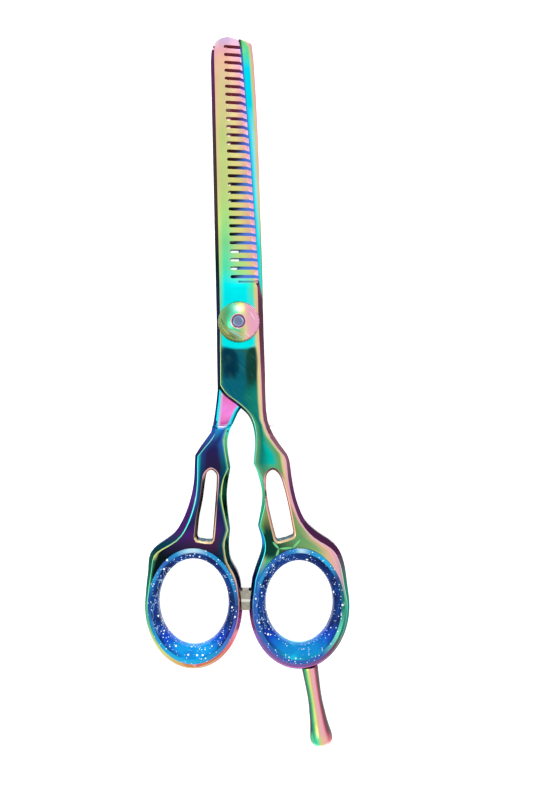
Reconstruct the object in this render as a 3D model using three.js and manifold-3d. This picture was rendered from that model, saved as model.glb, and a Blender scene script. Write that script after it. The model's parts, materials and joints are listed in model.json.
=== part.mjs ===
// Thinning shears: a comb blade crossing a plain blade on an adjustable pivot, with two finger rings.
// Millimetres. +Y points to the blade tips, +Z to the dial side, and the shears are shown closed.
// The origin is on the pivot axis, at the back of the pivot bolt's flat head.
import * as THREE from "three";
import { mergeVertices } from "three/addons/utils/BufferGeometryUtils.js";
import Module from "manifold-3d";

const wasm = await Module();
wasm.setup();

// Driving dimensions

const GAP = 0.3; // between faceted pieces that seat in one another
const FLAT_GAP = 0.1; // between flat faces stacked on the pivot
const BEYOND = 1; // how far a cutter reaches past the face it cuts
const SLIVER = 0.01; // edges shorter than this are closed up

const HANDLE_BACK = 0.8; // back face of both handles and of the plain half
const HANDLE_FRONT = 5.9; // front face of both handles and of the comb half
const LAP_THICKNESS = 2.4; // each half where the two cross
const LAP_STEP_Y = -27.9; // below this line a half has its full handle thickness
const LAP_STEP_HOLLOW = 1.4; // hollow at the foot of the step
const LAP_STEP_BOW = 4; // radius of the step's bowed edge
const COMB_STEP_X = 6.1; // middle of the step on each half
const PLAIN_STEP_X = -4.6;
const MID = (HANDLE_BACK + HANDLE_FRONT) / 2;
const PLAIN_INNER = HANDLE_BACK + LAP_THICKNESS;
const COMB_INNER = HANDLE_FRONT - LAP_THICKNESS;
const HANDLE_DROP = 1.3; // how far the handles' side bevels run down from a face
const LAP_OUTER_DROP = 1.1; // the same on the outer faces of the blades
const LAP_INNER_DROP = 0.5; // and on their inner faces
const INNER_SHARE = 0.4; // inner bevel on the comb half, against its outer bevel
const TAPER_START_Y = 8; // the blades thin from here to their tips
const TAPER = 0.0097;
const TAPER_OVERLAP = 0.5; // the level part runs on this far under the tapering one

const TEETH_SLOTS = 29;
const SLOT_PITCH = 2.06; // at the tip
const SLOT_PITCH_GROWTH = 0.0029; // the slots stand a little further apart towards the heel
const SLOT_WIDTH = 0.84;
const FIRST_SLOT_Y = 71.75; // centre of the slot nearest the tip, at its root
const SLOT_SLOPE_TIP = -0.08; // fall of a slot towards the tooth tips, in radians
const ROOT_X_TIP = -3.95; // slot roots, at the tip and at the heel
const ROOT_X_HEEL = -2.15;
const SLOT_REACH = 9;
const RELIEF = { x: -0.1, slots: 28.6, width: 0.5, depth: 0.7 }; // shallow line that ends the row

const WINDOW_CHAMFER = 0.4;

const FINGER_RING = { x: 15.75, y: -73.9, a: 13.1, b: 16.5, opening: { a: 8.75, b: 10.85 } };
const THUMB_RING = { x: -11.83, y: -73.9, a: 12.72, b: 16.4, opening: { a: 9.05, b: 11.35 } };
const INSERT_Y = -73.6;
const OPENING_RISE = 0.6; // how far the opening's middle lies above the flange's
const RING_STEPS = 56;
const RING_STRETCH_STEPS = 44; // points round the outside of a ring
const RING_BEVEL = 0.65; // outer bevel of the rings
const RING_BEVEL_EXTRA = 0.3; // added where the two rings face each other
const RING_BEVEL_FOCUS = 6; // how closely that is gathered there
const INSERT_OUTER = { a: 11.75, b: 15 }; // half axes of the insert's flanges
const RING_HOLE = 0.41; // the metal hole, as a share of the way from flange to opening
const GROOVE = 0.53; // bottom of the insert's groove, as the same share
const FLANGE = 0.5;
const LIP = [[0, FLANGE], [0, 0.28], [0.09, 0], [0.31, 0], [0.36, 0.14]]; // [share, z] up the rolled lip
const BOWL = { share: 0.36, reach: 0.61, z: 2.1, rise: 1.96, steps: 4 }; // rounded wall from lip to opening

const PIVOT_STEPS = 48;
const BOLT_HEAD_RADIUS = 4.6;
const BOLT_HEAD_EDGE = 0.25;
const BOLT_RADIUS = 2.2;
const BOLT_KEY_RADIUS = 2.9; // the flat-sided neck that turns with the plain half
const BOLT_KEY_HALF = 2.3;
const BUSHING_WALL = 0.4;
const STUD_RADIUS = 1.25; // the bolt's end, seen in the dial
const STUD_TOP = 8.75;
const WASHER_THICKNESS = 0.4;
const WASHER_RADIUS = 3.7;
const SPRING_DISH = 0.25;
const SPRING_LAND = 0.1; // flat edge that the spring washer stands on
const CLICK_NOTCHES = 12;
const CLICK_NOTCH_RADIUS = 0.3;
const DIAL_RADIUS = 5.35;
const DIAL_DOME = 2.2; // rise of the dome above the dial's rim
const DIAL_TOP = 9.3; // where the dome would close without its hole
const DIAL_BASE = 6.1;
const DIAL_KNURLS = 60;
const KNURL_DEPTH = 0.14;
const DIAL_BORE = 1.62;
const DIAL_BORE_CHAMFER = 0.45;
const DOME_STEPS = 7;

const REST_LENGTH = 20.2;
const REST_ANGLE = THREE.MathUtils.degToRad(9.3); // lean of the finger rest away from the blades' line
const REST_SEAT = { x: 18.62, y: -90.75 };
const REST_STUD_RADIUS = 0.9;
const REST_STUD_LENGTH = 2.6;
const REST_SIDES = [[0, 2.15], [3, 2.02], [6, 1.88], [8.5, 1.88], [11, 2.08], [13.8, 2.33], // [along, radius]
  [16.3, 2.75], [17.8, 2.98]];
const REST_FOOT = [[2.8, 19], [2.3, 19.75], [1.3, REST_LENGTH], [0, REST_LENGTH]]; // [radius, along]
const BUMPER = { x: 1.75, y: -72.35, halfWidth: 1.55, halfLength: 2.5, halfHeight: 2.1 };
const BUMPER_STEM_RADIUS = 0.9;
const BUMPER_STEM_LENGTH = 1.5;

// Solids

/** Turns a closed geometry into a solid that can be joined and cut. */
function solid(geometry) {
  const bare = geometry.clone();
  bare.deleteAttribute("normal");
  bare.deleteAttribute("uv");
  const merged = mergeVertices(bare);
  const vertProperties = new Float32Array(merged.getAttribute("position").array);
  const triVerts = new Uint32Array(merged.getIndex().array);
  return new wasm.Manifold(new wasm.Mesh({ numProp: 3, vertProperties, triVerts }));
}

/** Turns a solid back into a geometry, without the slivers that cuts leave. */
function geometryOf(body) {
  const mesh = body.simplify(SLIVER).getMesh();
  const geometry = new THREE.BufferGeometry();
  geometry.setAttribute("position", new THREE.BufferAttribute(new Float32Array(mesh.vertProperties), 3));
  geometry.setIndex(new THREE.BufferAttribute(new Uint32Array(mesh.triVerts), 1));
  geometry.computeVertexNormals();
  return geometry;
}

function join(solids) {
  return solids.reduce((whole, piece) => whole.add(piece));
}

/** A closed body through loops of equally many points, given from the lowest to the highest. */
function loft(loops) {
  const count = loops[0].length;
  const index = [];
  for (let level = 0; level + 1 < loops.length; level++) {
    for (let i = 0; i < count; i++) {
      const a = level * count + i;
      const b = level * count + ((i + 1) % count);
      index.push(a, b, b + count, a, b + count, a + count);
    }
  }
  const last = (loops.length - 1) * count;
  for (const [a, b, c] of THREE.ShapeUtils.triangulateShape(loops[0], [])) {
    index.push(c, b, a);
  }
  for (const [a, b, c] of THREE.ShapeUtils.triangulateShape(loops.at(-1), [])) {
    index.push(a + last, b + last, c + last);
  }
  const geometry = new THREE.BufferGeometry().setFromPoints(loops.flat());
  geometry.setIndex(index);
  return solid(geometry);
}

function box(xMin, xMax, yMin, yMax, zMin, zMax) {
  const geometry = new THREE.BoxGeometry(xMax - xMin, yMax - yMin, zMax - zMin);
  geometry.translate((xMin + xMax) / 2, (yMin + yMax) / 2, (zMin + zMax) / 2);
  return solid(geometry);
}

/** A turned body about Z: the profile is [radius, z] pairs that start and end on the axis. */
function turned(profile, steps = PIVOT_STEPS) {
  const points = profile.map(([radius, z]) => new THREE.Vector2(radius, z));
  const geometry = new THREE.LatheGeometry(points, steps);
  geometry.rotateX(Math.PI / 2);
  geometry.scale(1, -1, 1);
  const index = geometry.getIndex().array;
  for (let i = 0; i < index.length; i += 3) {
    [index[i], index[i + 1]] = [index[i + 1], index[i]];
  }
  const body = solid(geometry);
  if (body.volume() < 0) {
    throw new Error("a turned profile runs the wrong way");
  }
  return body;
}

function rod(radius, zMin, zMax, steps = PIVOT_STEPS) {
  return turned([[0, zMin], [radius, zMin], [radius, zMax], [0, zMax]], steps);
}

// Outlines: each stretch is a smooth line through [x, y, bevel] points, and a corner stands where
// two stretches meet. The bevel is how far the front and back faces stop short of the outline.

function stretch(points, steps = 1) {
  const curve = new THREE.CatmullRomCurve3(points.map((point) => new THREE.Vector3(...point)));
  return curve.getPoints(steps).slice(0, -1);
}

/** The outside of a finger ring, from one angle round to another, with a deeper bevel at one side. */
function ringStretch(ring, from, to, deepAt) {
  return Array.from({ length: RING_STRETCH_STEPS }, (_, i) => {
    const angle = THREE.MathUtils.degToRad(from + ((to - from) * i) / RING_STRETCH_STEPS);
    const nearness = Math.max(0, Math.cos(angle - deepAt));
    const bevel = RING_BEVEL + RING_BEVEL_EXTRA * nearness ** RING_BEVEL_FOCUS;
    const x = ring.x + ring.a * Math.cos(angle);
    const y = ring.y + ring.b * Math.sin(angle);
    return new THREE.Vector3(x, y, bevel);
  });
}

/** The loop moved inwards by a share of its bevel, at the height that level gives for each y. */
function inset(loop, share, level) {
  return loop.map((point, i) => {
    const before = loop.at(i - 1);
    const after = loop[(i + 1) % loop.length];
    const arriving = new THREE.Vector2(before.y - point.y, point.x - before.x).normalize();
    const leaving = new THREE.Vector2(point.y - after.y, after.x - point.x).normalize();
    const inward = arriving.clone().add(leaving).normalize();
    const reach = (point.z * share) / Math.max(0.6, inward.dot(leaving));
    return new THREE.Vector3(point.x + inward.x * reach, point.y + inward.y * reach, level(point.y));
  });
}

/** A plate between two faces, each with a bevel along the outline. */
function bevelled(loop, back, front) {
  return loft([
    inset(loop, back.share, back.level),
    inset(loop, 0, (y) => back.level(y) + back.drop),
    inset(loop, 0, (y) => front.level(y) - front.drop),
    inset(loop, front.share, front.level),
  ]);
}

function combOutline() {
  return [
    ringStretch(FINGER_RING, 176, 366, Math.PI),
    stretch([[28.78, -72.18, 0.65], [28.3, -68.4, 0.9], [27.5, -63, 1.1], [26.4, -59.8, 1.3],
      [24.6, -57.5, 1.5], [20.4, -54.6, 1.7], [17.3, -51.7, 1.2], [15.06, -46.5, 1], [13.9, -41.2, 1],
      [13.3, -36.6, 0.9], [12.95, -35.2, 0.75]], 28),
    stretch([[12.6, -34.4, 0.8], [9.05, -29.4, 1.1], [7.5, -25.6, 1.05], [6.95, -20, 0.9],
      [6.84, -13.7, 1.05], [6.45, -3, 1.2], [6.3, 3, 1.3], [5.9, 7.5, 1], [5.2, 10.9, 0.5]], 16),
    stretch([[5.15, 11.2, 1.1], [3, 41.5, 1.1], [0.5, 72.2, 1.1]], 6),
    stretch([[0.45, 72.4, 0.3], [0, 73.65, 0.35]], 2),
    stretch([[-0.3, 73.95, 0.35], [-3.1, 74.68, 0.4], [-5.6, 73.9, 0.45], [-6.95, 72.2, 0.75],
      [-7.4, 69, 0.95]], 12),
    stretch([[-7.4, 68, 1], [-6.3, 20, 1.05], [-5.8, 0, 1], [-5.72, -16, 0.85]], 6),
    stretch([[-5.6, -16.6, 0.8], [-3.84, -19, 0.75], [-0.43, -21.6, 0.7], [2.3, -24.1, 0.6],
      [3.6, -26.8, 0.5], [4.2, -31, 0.4], [3.74, -36.5, 0.35]], 16),
    stretch([[3.74, -36.7, 0.35], [4.7, -38.8, 0.55], [6, -44, 0.8], [5.9, -47.5, 0.75],
      [4.93, -52.8, 0.35]], 12),
    stretch([[4.93, -53, 0.35], [5.85, -56.2, 0.7], [5.9, -59, 0.9], [4.4, -63.5, 0.95],
      [2.95, -68.2, 0.95]], 12),
  ].flat();
}

function plainOutline() {
  return [
    ringStretch(THUMB_RING, 176, 366, 2 * Math.PI),
    stretch([[0.82, -71.9, 0.95], [0.36, -67.5, 0.95], [-0.53, -64.85, 0.95], [-2.2, -61.8, 0.95],
      [-2.66, -57.6, 1.1], [-2.32, -54.1, 0.4]], 12),
    stretch([[-2.32, -53.9, 0.4], [-2.95, -49.1, 0.9], [-3.24, -44.9, 1.25], [-2.85, -41.2, 1.2],
      [-2.27, -38.1, 0.4]], 12),
    stretch([[-2.27, -37.9, 0.35], [-2.95, -33.6, 0.55], [-3.1, -30.9, 0.65], [-2.4, -28, 0.65],
      [-1.2, -25.5, 0.65], [0.07, -22.85, 0.65], [5.4, -17.2, 0.65]], 14),
    stretch([[5.8, -16.2, 0.7], [6.2, 0, 0.75], [6.2, 8.65, 0.9], [5.66, 27, 0.95], [4.93, 49.3, 0.95],
      [4, 66.4, 0.9], [3.55, 72.4, 0.8]], 14),
    stretch([[3.3, 73.4, 0.7], [2.75, 74, 0.6], [0.33, 74.95, 0.4]], 3),
    stretch([[0, 74.9, 0.3], [-0.7, 74.1, 0.2], [-3.2, 73.4, 0.15], [-4.3, 72.2, 0.15]], 5),
    stretch([[-4.4, 71.8, 0.12], [-3.5, 46, 0.12], [-2.75, 21.4, 0.12]], 6),
    stretch([[-2.6, 21, 0.12], [-0.5, 19.8, 0.12], [-0.1, 17, 0.12], [-0.5, 14.4, 0.12],
      [-2.5, 13.2, 0.12]], 10),
    stretch([[-2.6, 12.8, 0.2], [-3.2, 10.6, 0.3], [-4.7, 8, 0.5], [-5.55, 5, 0.6]], 6),
    stretch([[-5.6, 4, 0.65], [-5.62, -16, 0.65], [-6, -20.5, 0.65], [-6.5, -24.3, 0.7],
      [-7.1, -28, 1]], 6),
    stretch([[-7.25, -28.5, 1.15], [-8.7, -30.5, 1.2], [-11.15, -33.8, 0.85]], 4),
    stretch([[-11.45, -34.6, 0.75], [-11.55, -37, 0.8], [-11.8, -41.6, 1], [-12.8, -46.5, 1.4],
      [-14.8, -51.7, 1.7], [-17, -55, 1.8], [-22, -58.7, 1.4], [-23.3, -60.65, 1.2], [-23.75, -65, 0.9],
      [-24.25, -69, 0.75]], 30),
  ].flat();
}

/** The tapering blade and flat lap of a half, above the step. */
function lap(loop, back, front, backTaper, frontTaper) {
  const sloped = (level, taper) => (y) => level + taper * (y - TAPER_START_Y);
  const ricasso = bevelled(loop, { ...back, level: () => back.z }, { ...front, level: () => front.z });
  const blade = bevelled(loop, { ...back, level: sloped(back.z, backTaper) },
    { ...front, level: sloped(front.z, frontTaper) });
  const low = back.z - BEYOND;
  const high = front.z + BEYOND;
  const lapBottom = LAP_STEP_Y - BEYOND;
  return ricasso.intersect(box(-30, 30, lapBottom, TAPER_START_Y + TAPER_OVERLAP, low, high))
    .add(blade.intersect(box(-30, 30, TAPER_START_Y, 80, low, high)));
}

/** The full-thickness handle below the step, which rises from the lap's face in a bowed hollow. */
function handle(loop, innerFace, side, stepX) {
  const face = (z) => ({ share: 1, drop: HANDLE_DROP, level: () => z });
  const whole = bevelled(loop, face(HANDLE_BACK), face(HANDLE_FRONT));
  const hollow = new THREE.EllipseCurve(LAP_STEP_BOW - LAP_STEP_HOLLOW, LAP_STEP_HOLLOW,
    LAP_STEP_HOLLOW, LAP_STEP_HOLLOW, -Math.PI / 2, 0).getPoints(6).map((point) => [point.x, point.y]);
  const top = LAP_THICKNESS + 2 * BEYOND;
  const cutter = turned([[0, 0], ...hollow, [LAP_STEP_BOW, top], [0, top]])
    .rotate([side > 0 ? 0 : 180, 0, 0])
    .translate([stepX, LAP_STEP_Y + LAP_STEP_BOW, innerFace]);
  return whole.intersect(box(-30, 30, -95, LAP_STEP_Y + BEYOND, -BEYOND, HANDLE_FRONT + BEYOND))
    .subtract(cutter);
}

/** A through window with a small chamfer round its rim on both faces. */
function windowCutter(loop) {
  const widened = inset(loop, -WINDOW_CHAMFER, () => 0);
  const at = (points, z) => points.map((point) => new THREE.Vector3(point.x, point.y, z));
  return loft([
    at(widened, HANDLE_BACK - BEYOND),
    at(widened, HANDLE_BACK),
    at(loop, HANDLE_BACK + WINDOW_CHAMFER),
    at(loop, HANDLE_FRONT - WINDOW_CHAMFER),
    at(widened, HANDLE_FRONT),
    at(widened, HANDLE_FRONT + BEYOND),
  ]);
}

function windowLoop(bottomLeft, bottomRight, rightSide, top, leftSide) {
  return [
    stretch([...bottomLeft, ...bottomRight], 8),
    stretch([bottomRight.at(-1), ...rightSide, ...top, ...leftSide, bottomLeft[0]], 30),
  ].flat();
}

function combWindow() {
  return windowLoop(
    [[9.5, -55.9, 1], [9.9, -56.8, 1], [10.8, -56.8, 1]],
    [[13.6, -55.9, 1], [14.2, -55.5, 1], [14.2, -54.6, 1]],
    [[13.4, -50.3, 1], [12.5, -46, 1], [11.6, -42.5, 1]],
    [[10.5, -39.6, 1], [8.9, -38.3, 1], [7.4, -39.3, 1]],
    [[7.05, -42, 1], [7.5, -47, 1], [8.5, -51.8, 1]],
  );
}

function plainWindow() {
  return windowLoop(
    [[-11.1, -55.6, 1], [-10.9, -56.5, 1], [-10.2, -56.7, 1]],
    [[-7.6, -57, 1], [-7, -56.7, 1], [-6.8, -55.8, 1]],
    [[-6.5, -52, 1], [-6.1, -46.5, 1], [-5.75, -41.5, 1]],
    [[-5.85, -39.4, 1], [-7.2, -38.3, 1], [-8.6, -39.4, 1]],
    [[-9.05, -41.5, 1], [-9.7, -46.5, 1], [-10.6, -51, 1]],
  );
}

/** An upright oval column, cut or kept with rings of other half axes at each height. */
function oval(centre, levels) {
  return loft(levels.map(({ a, b, z }) => Array.from({ length: RING_STEPS }, (_, i) => {
    const angle = (2 * Math.PI * i) / RING_STEPS;
    return new THREE.Vector3(centre.x + a * Math.cos(angle), centre.y + b * Math.sin(angle), z);
  })));
}

/** Middle and half axes part of the way from an insert's flange to its opening. */
function insertOval(ring, share) {
  return {
    x: ring.x,
    y: INSERT_Y + OPENING_RISE * share,
    a: THREE.MathUtils.lerp(INSERT_OUTER.a, ring.opening.a, share),
    b: THREE.MathUtils.lerp(INSERT_OUTER.b, ring.opening.b, share),
  };
}

function ringHole(ring) {
  const { x, y, a, b } = insertOval(ring, RING_HOLE);
  return oval({ x, y }, [{ a, b, z: -BEYOND }, { a, b, z: HANDLE_FRONT + BEYOND }]);
}

/** Place along the blade of a slot, counted from the tip. */
function slotY(count) {
  return FIRST_SLOT_Y - SLOT_PITCH * count - SLOT_PITCH_GROWTH * count ** 2;
}

/** The slots between the teeth, each with a round root, and the shallow relief that ends the row. */
function slots() {
  const cutters = [];
  for (let i = 0; i < TEETH_SLOTS; i++) {
    const along = i / (TEETH_SLOTS - 1);
    const x = THREE.MathUtils.lerp(ROOT_X_TIP, ROOT_X_HEEL, along) + SLOT_WIDTH / 2;
    const slope = SLOT_SLOPE_TIP * (1 - along);
    const half = SLOT_WIDTH / 2;
    const shape = new THREE.Shape();
    shape.moveTo(0, -half);
    shape.lineTo(SLOT_REACH, -half);
    shape.lineTo(SLOT_REACH, half);
    shape.lineTo(0, half);
    shape.absarc(0, 0, half, Math.PI / 2, (3 * Math.PI) / 2);
    const depth = LAP_THICKNESS + 2 * BEYOND;
    const slot = new THREE.ExtrudeGeometry(shape, { depth, bevelEnabled: false, curveSegments: 6 });
    slot.rotateZ(slope);
    slot.translate(x, slotY(i), COMB_INNER - BEYOND);
    cutters.push(solid(slot));
  }
  const reliefY = slotY(RELIEF.slots);
  cutters.push(box(RELIEF.x, SLOT_REACH, reliefY - RELIEF.width / 2, reliefY + RELIEF.width / 2,
    HANDLE_FRONT - RELIEF.depth, HANDLE_FRONT + BEYOND));
  return join(cutters);
}

/** A rod lying along the finger rest's axis, measured from the seat on the ring. */
function alongRest(body) {
  return body.rotate([90, 0, 0]).rotate([0, 0, THREE.MathUtils.radToDeg(REST_ANGLE)])
    .translate([REST_SEAT.x, REST_SEAT.y, MID]);
}

/** A rod lying along X from the bumper towards the thumb ring. */
function alongStem(radius, length) {
  return rod(radius, 0, length + BUMPER.halfWidth, 16).rotate([0, -90, 0])
    .translate([BUMPER.x, BUMPER.y, MID]);
}

// Sub-parts

function combHalf() {
  const loop = combOutline();
  const back = { z: COMB_INNER, share: INNER_SHARE, drop: LAP_INNER_DROP };
  const front = { z: HANDLE_FRONT, share: 1, drop: LAP_OUTER_DROP };
  return lap(loop, back, front, 0, -TAPER)
    .add(handle(loop, COMB_INNER, -1, COMB_STEP_X))
    .subtract(ringHole(FINGER_RING))
    .subtract(windowCutter(combWindow()))
    .subtract(slots())
    .subtract(rod(BOLT_RADIUS + 2 * GAP + BUSHING_WALL, 0, 10))
    .subtract(alongRest(rod(REST_STUD_RADIUS + GAP, -REST_STUD_LENGTH - BEYOND, BEYOND, 16)));
}

function plainHalf() {
  const loop = plainOutline();
  const back = { z: HANDLE_BACK, share: 1, drop: LAP_OUTER_DROP };
  const front = { z: PLAIN_INNER, share: 1, drop: LAP_INNER_DROP };
  const keyHole = rod(BOLT_KEY_RADIUS + GAP, 0, 10)
    .intersect(box(-10, 10, -BOLT_KEY_HALF - GAP, BOLT_KEY_HALF + GAP, 0, 10));
  return lap(loop, back, front, TAPER, 0)
    .add(handle(loop, PLAIN_INNER, 1, PLAIN_STEP_X))
    .subtract(ringHole(THUMB_RING))
    .subtract(windowCutter(plainWindow()))
    .subtract(keyHole)
    .subtract(alongStem(BUMPER_STEM_RADIUS + GAP, BUMPER_STEM_LENGTH + GAP));
}

function pivotBolt() {
  const headTop = HANDLE_BACK - GAP;
  const head = turned([[0, 0], [BOLT_HEAD_RADIUS - BOLT_HEAD_EDGE, 0], [BOLT_HEAD_RADIUS, BOLT_HEAD_EDGE],
    [BOLT_HEAD_RADIUS, headTop], [0, headTop]]);
  const key = rod(BOLT_KEY_RADIUS, headTop - 0.1, PLAIN_INNER)
    .intersect(box(-10, 10, -BOLT_KEY_HALF, BOLT_KEY_HALF, 0, 10));
  const shank = rod(BOLT_RADIUS, HANDLE_BACK, stackTop());
  const stud = turned([[0, MID], [STUD_RADIUS, MID], [STUD_RADIUS, STUD_TOP - 0.15],
    [STUD_RADIUS - 0.15, STUD_TOP], [0, STUD_TOP]]);
  return join([head, key, shank, stud]);
}

function pivotBushing() {
  const bore = BOLT_RADIUS + GAP;
  const top = HANDLE_FRONT - FLAT_GAP;
  return rod(bore + BUSHING_WALL, COMB_INNER + FLAT_GAP, top).subtract(rod(bore, 0, 10));
}

/** Height of the underside of a washer in the stack on the comb half, counted from 0. */
function stackLevel(place) {
  return HANDLE_FRONT + FLAT_GAP + place * (WASHER_THICKNESS + FLAT_GAP);
}

function stackTop() {
  return stackLevel(3);
}

function glideWasher() {
  const bottom = stackLevel(0);
  return rod(WASHER_RADIUS, bottom, bottom + WASHER_THICKNESS).subtract(rod(BOLT_RADIUS + GAP, 0, 10));
}

/** A dished ring, higher at its bore than at its rim. */
function springWasher() {
  const bottom = stackLevel(1);
  const bore = BOLT_RADIUS + GAP;
  const thickness = WASHER_THICKNESS - SPRING_DISH;
  const dished = turned([[0, bottom], [WASHER_RADIUS, bottom], [WASHER_RADIUS, bottom + thickness],
    [bore, bottom + WASHER_THICKNESS], [0, bottom + WASHER_THICKNESS]]);
  const land = WASHER_RADIUS - SPRING_LAND;
  const under = turned([[0, bottom - BEYOND], [land, bottom - BEYOND], [land, bottom],
    [bore, bottom + SPRING_DISH], [0, bottom + SPRING_DISH]]);
  return dished.subtract(under).subtract(rod(bore, 0, 10));
}

/** The plate that the dial clicks over, with notches round its rim. */
function clickWasher() {
  const bottom = stackLevel(2);
  let plate = rod(WASHER_RADIUS, bottom, bottom + WASHER_THICKNESS).subtract(rod(BOLT_RADIUS + GAP, 0, 10));
  for (let i = 0; i < CLICK_NOTCHES; i++) {
    const angle = (2 * Math.PI * i) / CLICK_NOTCHES;
    const notch = rod(CLICK_NOTCH_RADIUS, bottom - BEYOND, bottom + BEYOND, 8)
      .translate([WASHER_RADIUS * Math.cos(angle), WASHER_RADIUS * Math.sin(angle), 0]);
    plate = plate.subtract(notch);
  }
  return plate;
}

function tensionDial() {
  const dome = [];
  const rim = DIAL_TOP - DIAL_DOME;
  for (let i = 0; i <= DOME_STEPS; i++) {
    const radius = DIAL_RADIUS * (1 - i / DOME_STEPS);
    dome.push([radius, DIAL_TOP - DIAL_DOME * (radius / DIAL_RADIUS) ** 2]);
  }
  const body = turned([[0, DIAL_BASE], [DIAL_RADIUS - 0.1, DIAL_BASE], ...dome]);
  const rimLoop = (z, depth) => Array.from({ length: DIAL_KNURLS * 2 }, (_, i) => {
    const radius = DIAL_RADIUS + (i % 2 ? -depth : depth) / 2;
    const angle = (Math.PI * i) / DIAL_KNURLS;
    return new THREE.Vector3(radius * Math.cos(angle), radius * Math.sin(angle), z);
  });
  const knurl = loft([rimLoop(DIAL_BASE + 0.15, KNURL_DEPTH), rimLoop(rim, KNURL_DEPTH)]);
  const recess = rod(WASHER_RADIUS + GAP, DIAL_BASE - BEYOND, stackTop() + FLAT_GAP);
  const bore = turned([[0, DIAL_BASE], [DIAL_BORE, DIAL_BASE], [DIAL_BORE, DIAL_TOP - DIAL_BORE_CHAMFER],
    [DIAL_BORE + DIAL_BORE_CHAMFER, DIAL_TOP], [0, DIAL_TOP]]);
  return body.add(knurl).subtract(recess).subtract(bore);
}

/** The outer shape of a ring with a clearance all round, between its bevelled faces. */
function grownRing(ring) {
  const bevel = RING_BEVEL + RING_BEVEL_EXTRA;
  const wide = { a: ring.a + GAP, b: ring.b + GAP };
  const narrow = { a: wide.a - bevel, b: wide.b - bevel };
  return oval(ring, [
    { ...narrow, z: HANDLE_BACK },
    { ...wide, z: HANDLE_BACK + HANDLE_DROP },
    { ...wide, z: HANDLE_FRONT - HANDLE_DROP },
    { ...narrow, z: HANDLE_FRONT },
  ]);
}

/** The stop between the rings, shaped to both of them, with a stem pressed into the thumb ring. */
function bumper() {
  const { x, y, halfWidth, halfLength, halfHeight } = BUMPER;
  const block = box(x - halfWidth, x + halfWidth, y - halfLength, y + halfLength,
    MID - halfHeight, MID + halfHeight);
  return block.subtract(grownRing(THUMB_RING)).subtract(grownRing(FINGER_RING))
    .add(alongStem(BUMPER_STEM_RADIUS, BUMPER_STEM_LENGTH));
}

/** A soft ring that hugs a metal ring's inner edge: the profile is [share, z] pairs up the inside. */
function ringInsert(ring) {
  const height = HANDLE_FRONT + GAP + FLANGE;
  const lower = [...LIP];
  for (let i = 1; i <= BOWL.steps; i++) {
    const angle = (Math.PI / 2) * (i / BOWL.steps);
    lower.push([BOWL.share + BOWL.reach * Math.sin(angle), BOWL.z - BOWL.rise * Math.cos(angle)]);
  }
  const upper = lower.map(([share, z]) => [share, height - z]).reverse();
  const profile = [...lower, [1, height / 2], ...upper, [GROOVE, height - FLANGE], [GROOVE, FLANGE]];
  const positions = [];
  const index = [];
  for (let i = 0; i < RING_STEPS; i++) {
    const angle = (2 * Math.PI * i) / RING_STEPS;
    for (let j = 0; j < profile.length; j++) {
      const { x, y, a, b } = insertOval(ring, profile[j][0]);
      positions.push(x + a * Math.cos(angle), y + b * Math.sin(angle), profile[j][1]);
      const next = (j + 1) % profile.length;
      const corner = i * profile.length + j;
      const ahead = i * profile.length + next;
      const across = ((i + 1) % RING_STEPS) * profile.length;
      index.push(corner, ahead, across + j, ahead, across + next, across + j);
    }
  }
  const geometry = new THREE.BufferGeometry();
  geometry.setAttribute("position", new THREE.Float32BufferAttribute(positions, 3));
  geometry.setIndex(index);
  return solid(geometry);
}

/** A slim waisted stalk with a rounded foot, on a stud screwed into the finger ring. */
function fingerRest() {
  const sides = REST_SIDES.map(([along, radius]) => new THREE.Vector2(radius, along));
  const profile = new THREE.SplineCurve(sides).getPoints(18);
  const stalk = turned([
    [0, -REST_STUD_LENGTH], [REST_STUD_RADIUS, -REST_STUD_LENGTH], [REST_STUD_RADIUS, 0],
    ...profile.map((point) => [point.x, point.y]), ...REST_FOOT,
  ], 32);
  return alongRest(stalk);
}

// Assembly

function finish(color, roughness, metalness) {
  return new THREE.MeshStandardMaterial({ color, roughness, metalness });
}

const group = new THREE.Group();

function place(name, body, material) {
  const mesh = new THREE.Mesh(geometryOf(body), material);
  mesh.name = name;
  group.add(mesh);
}

place("comb_half", combHalf(), finish(0x38c7b0, 0.15, 1));
place("plain_half", plainHalf(), finish(0x2b4a8c, 0.15, 1));
place("pivot_bolt", pivotBolt(), finish(0x8f9bb8, 0.25, 1));
place("pivot_bushing", pivotBushing(), finish(0xb08d4a, 0.4, 1));
place("glide_washer", glideWasher(), finish(0xe8e6df, 0.5, 0));
place("spring_washer", springWasher(), finish(0x9a9a9a, 0.35, 1));
place("click_washer", clickWasher(), finish(0x8a8a8a, 0.35, 1));
place("tension_dial", tensionDial(), finish(0x7fc98a, 0.15, 1));
place("bumper", bumper(), finish(0xb9b6a6, 0.6, 0));
place("finger_ring_insert", ringInsert(FINGER_RING), finish(0x1450b4, 0.2, 0));
place("thumb_ring_insert", ringInsert(THUMB_RING), finish(0x1450b4, 0.2, 0));
place("finger_rest", fingerRest(), finish(0xb88a70, 0.15, 1));

export default group;
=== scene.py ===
"""Thinning shears with a rainbow coating, lying closed on a pale table and seen from above."""
import json
import math

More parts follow.
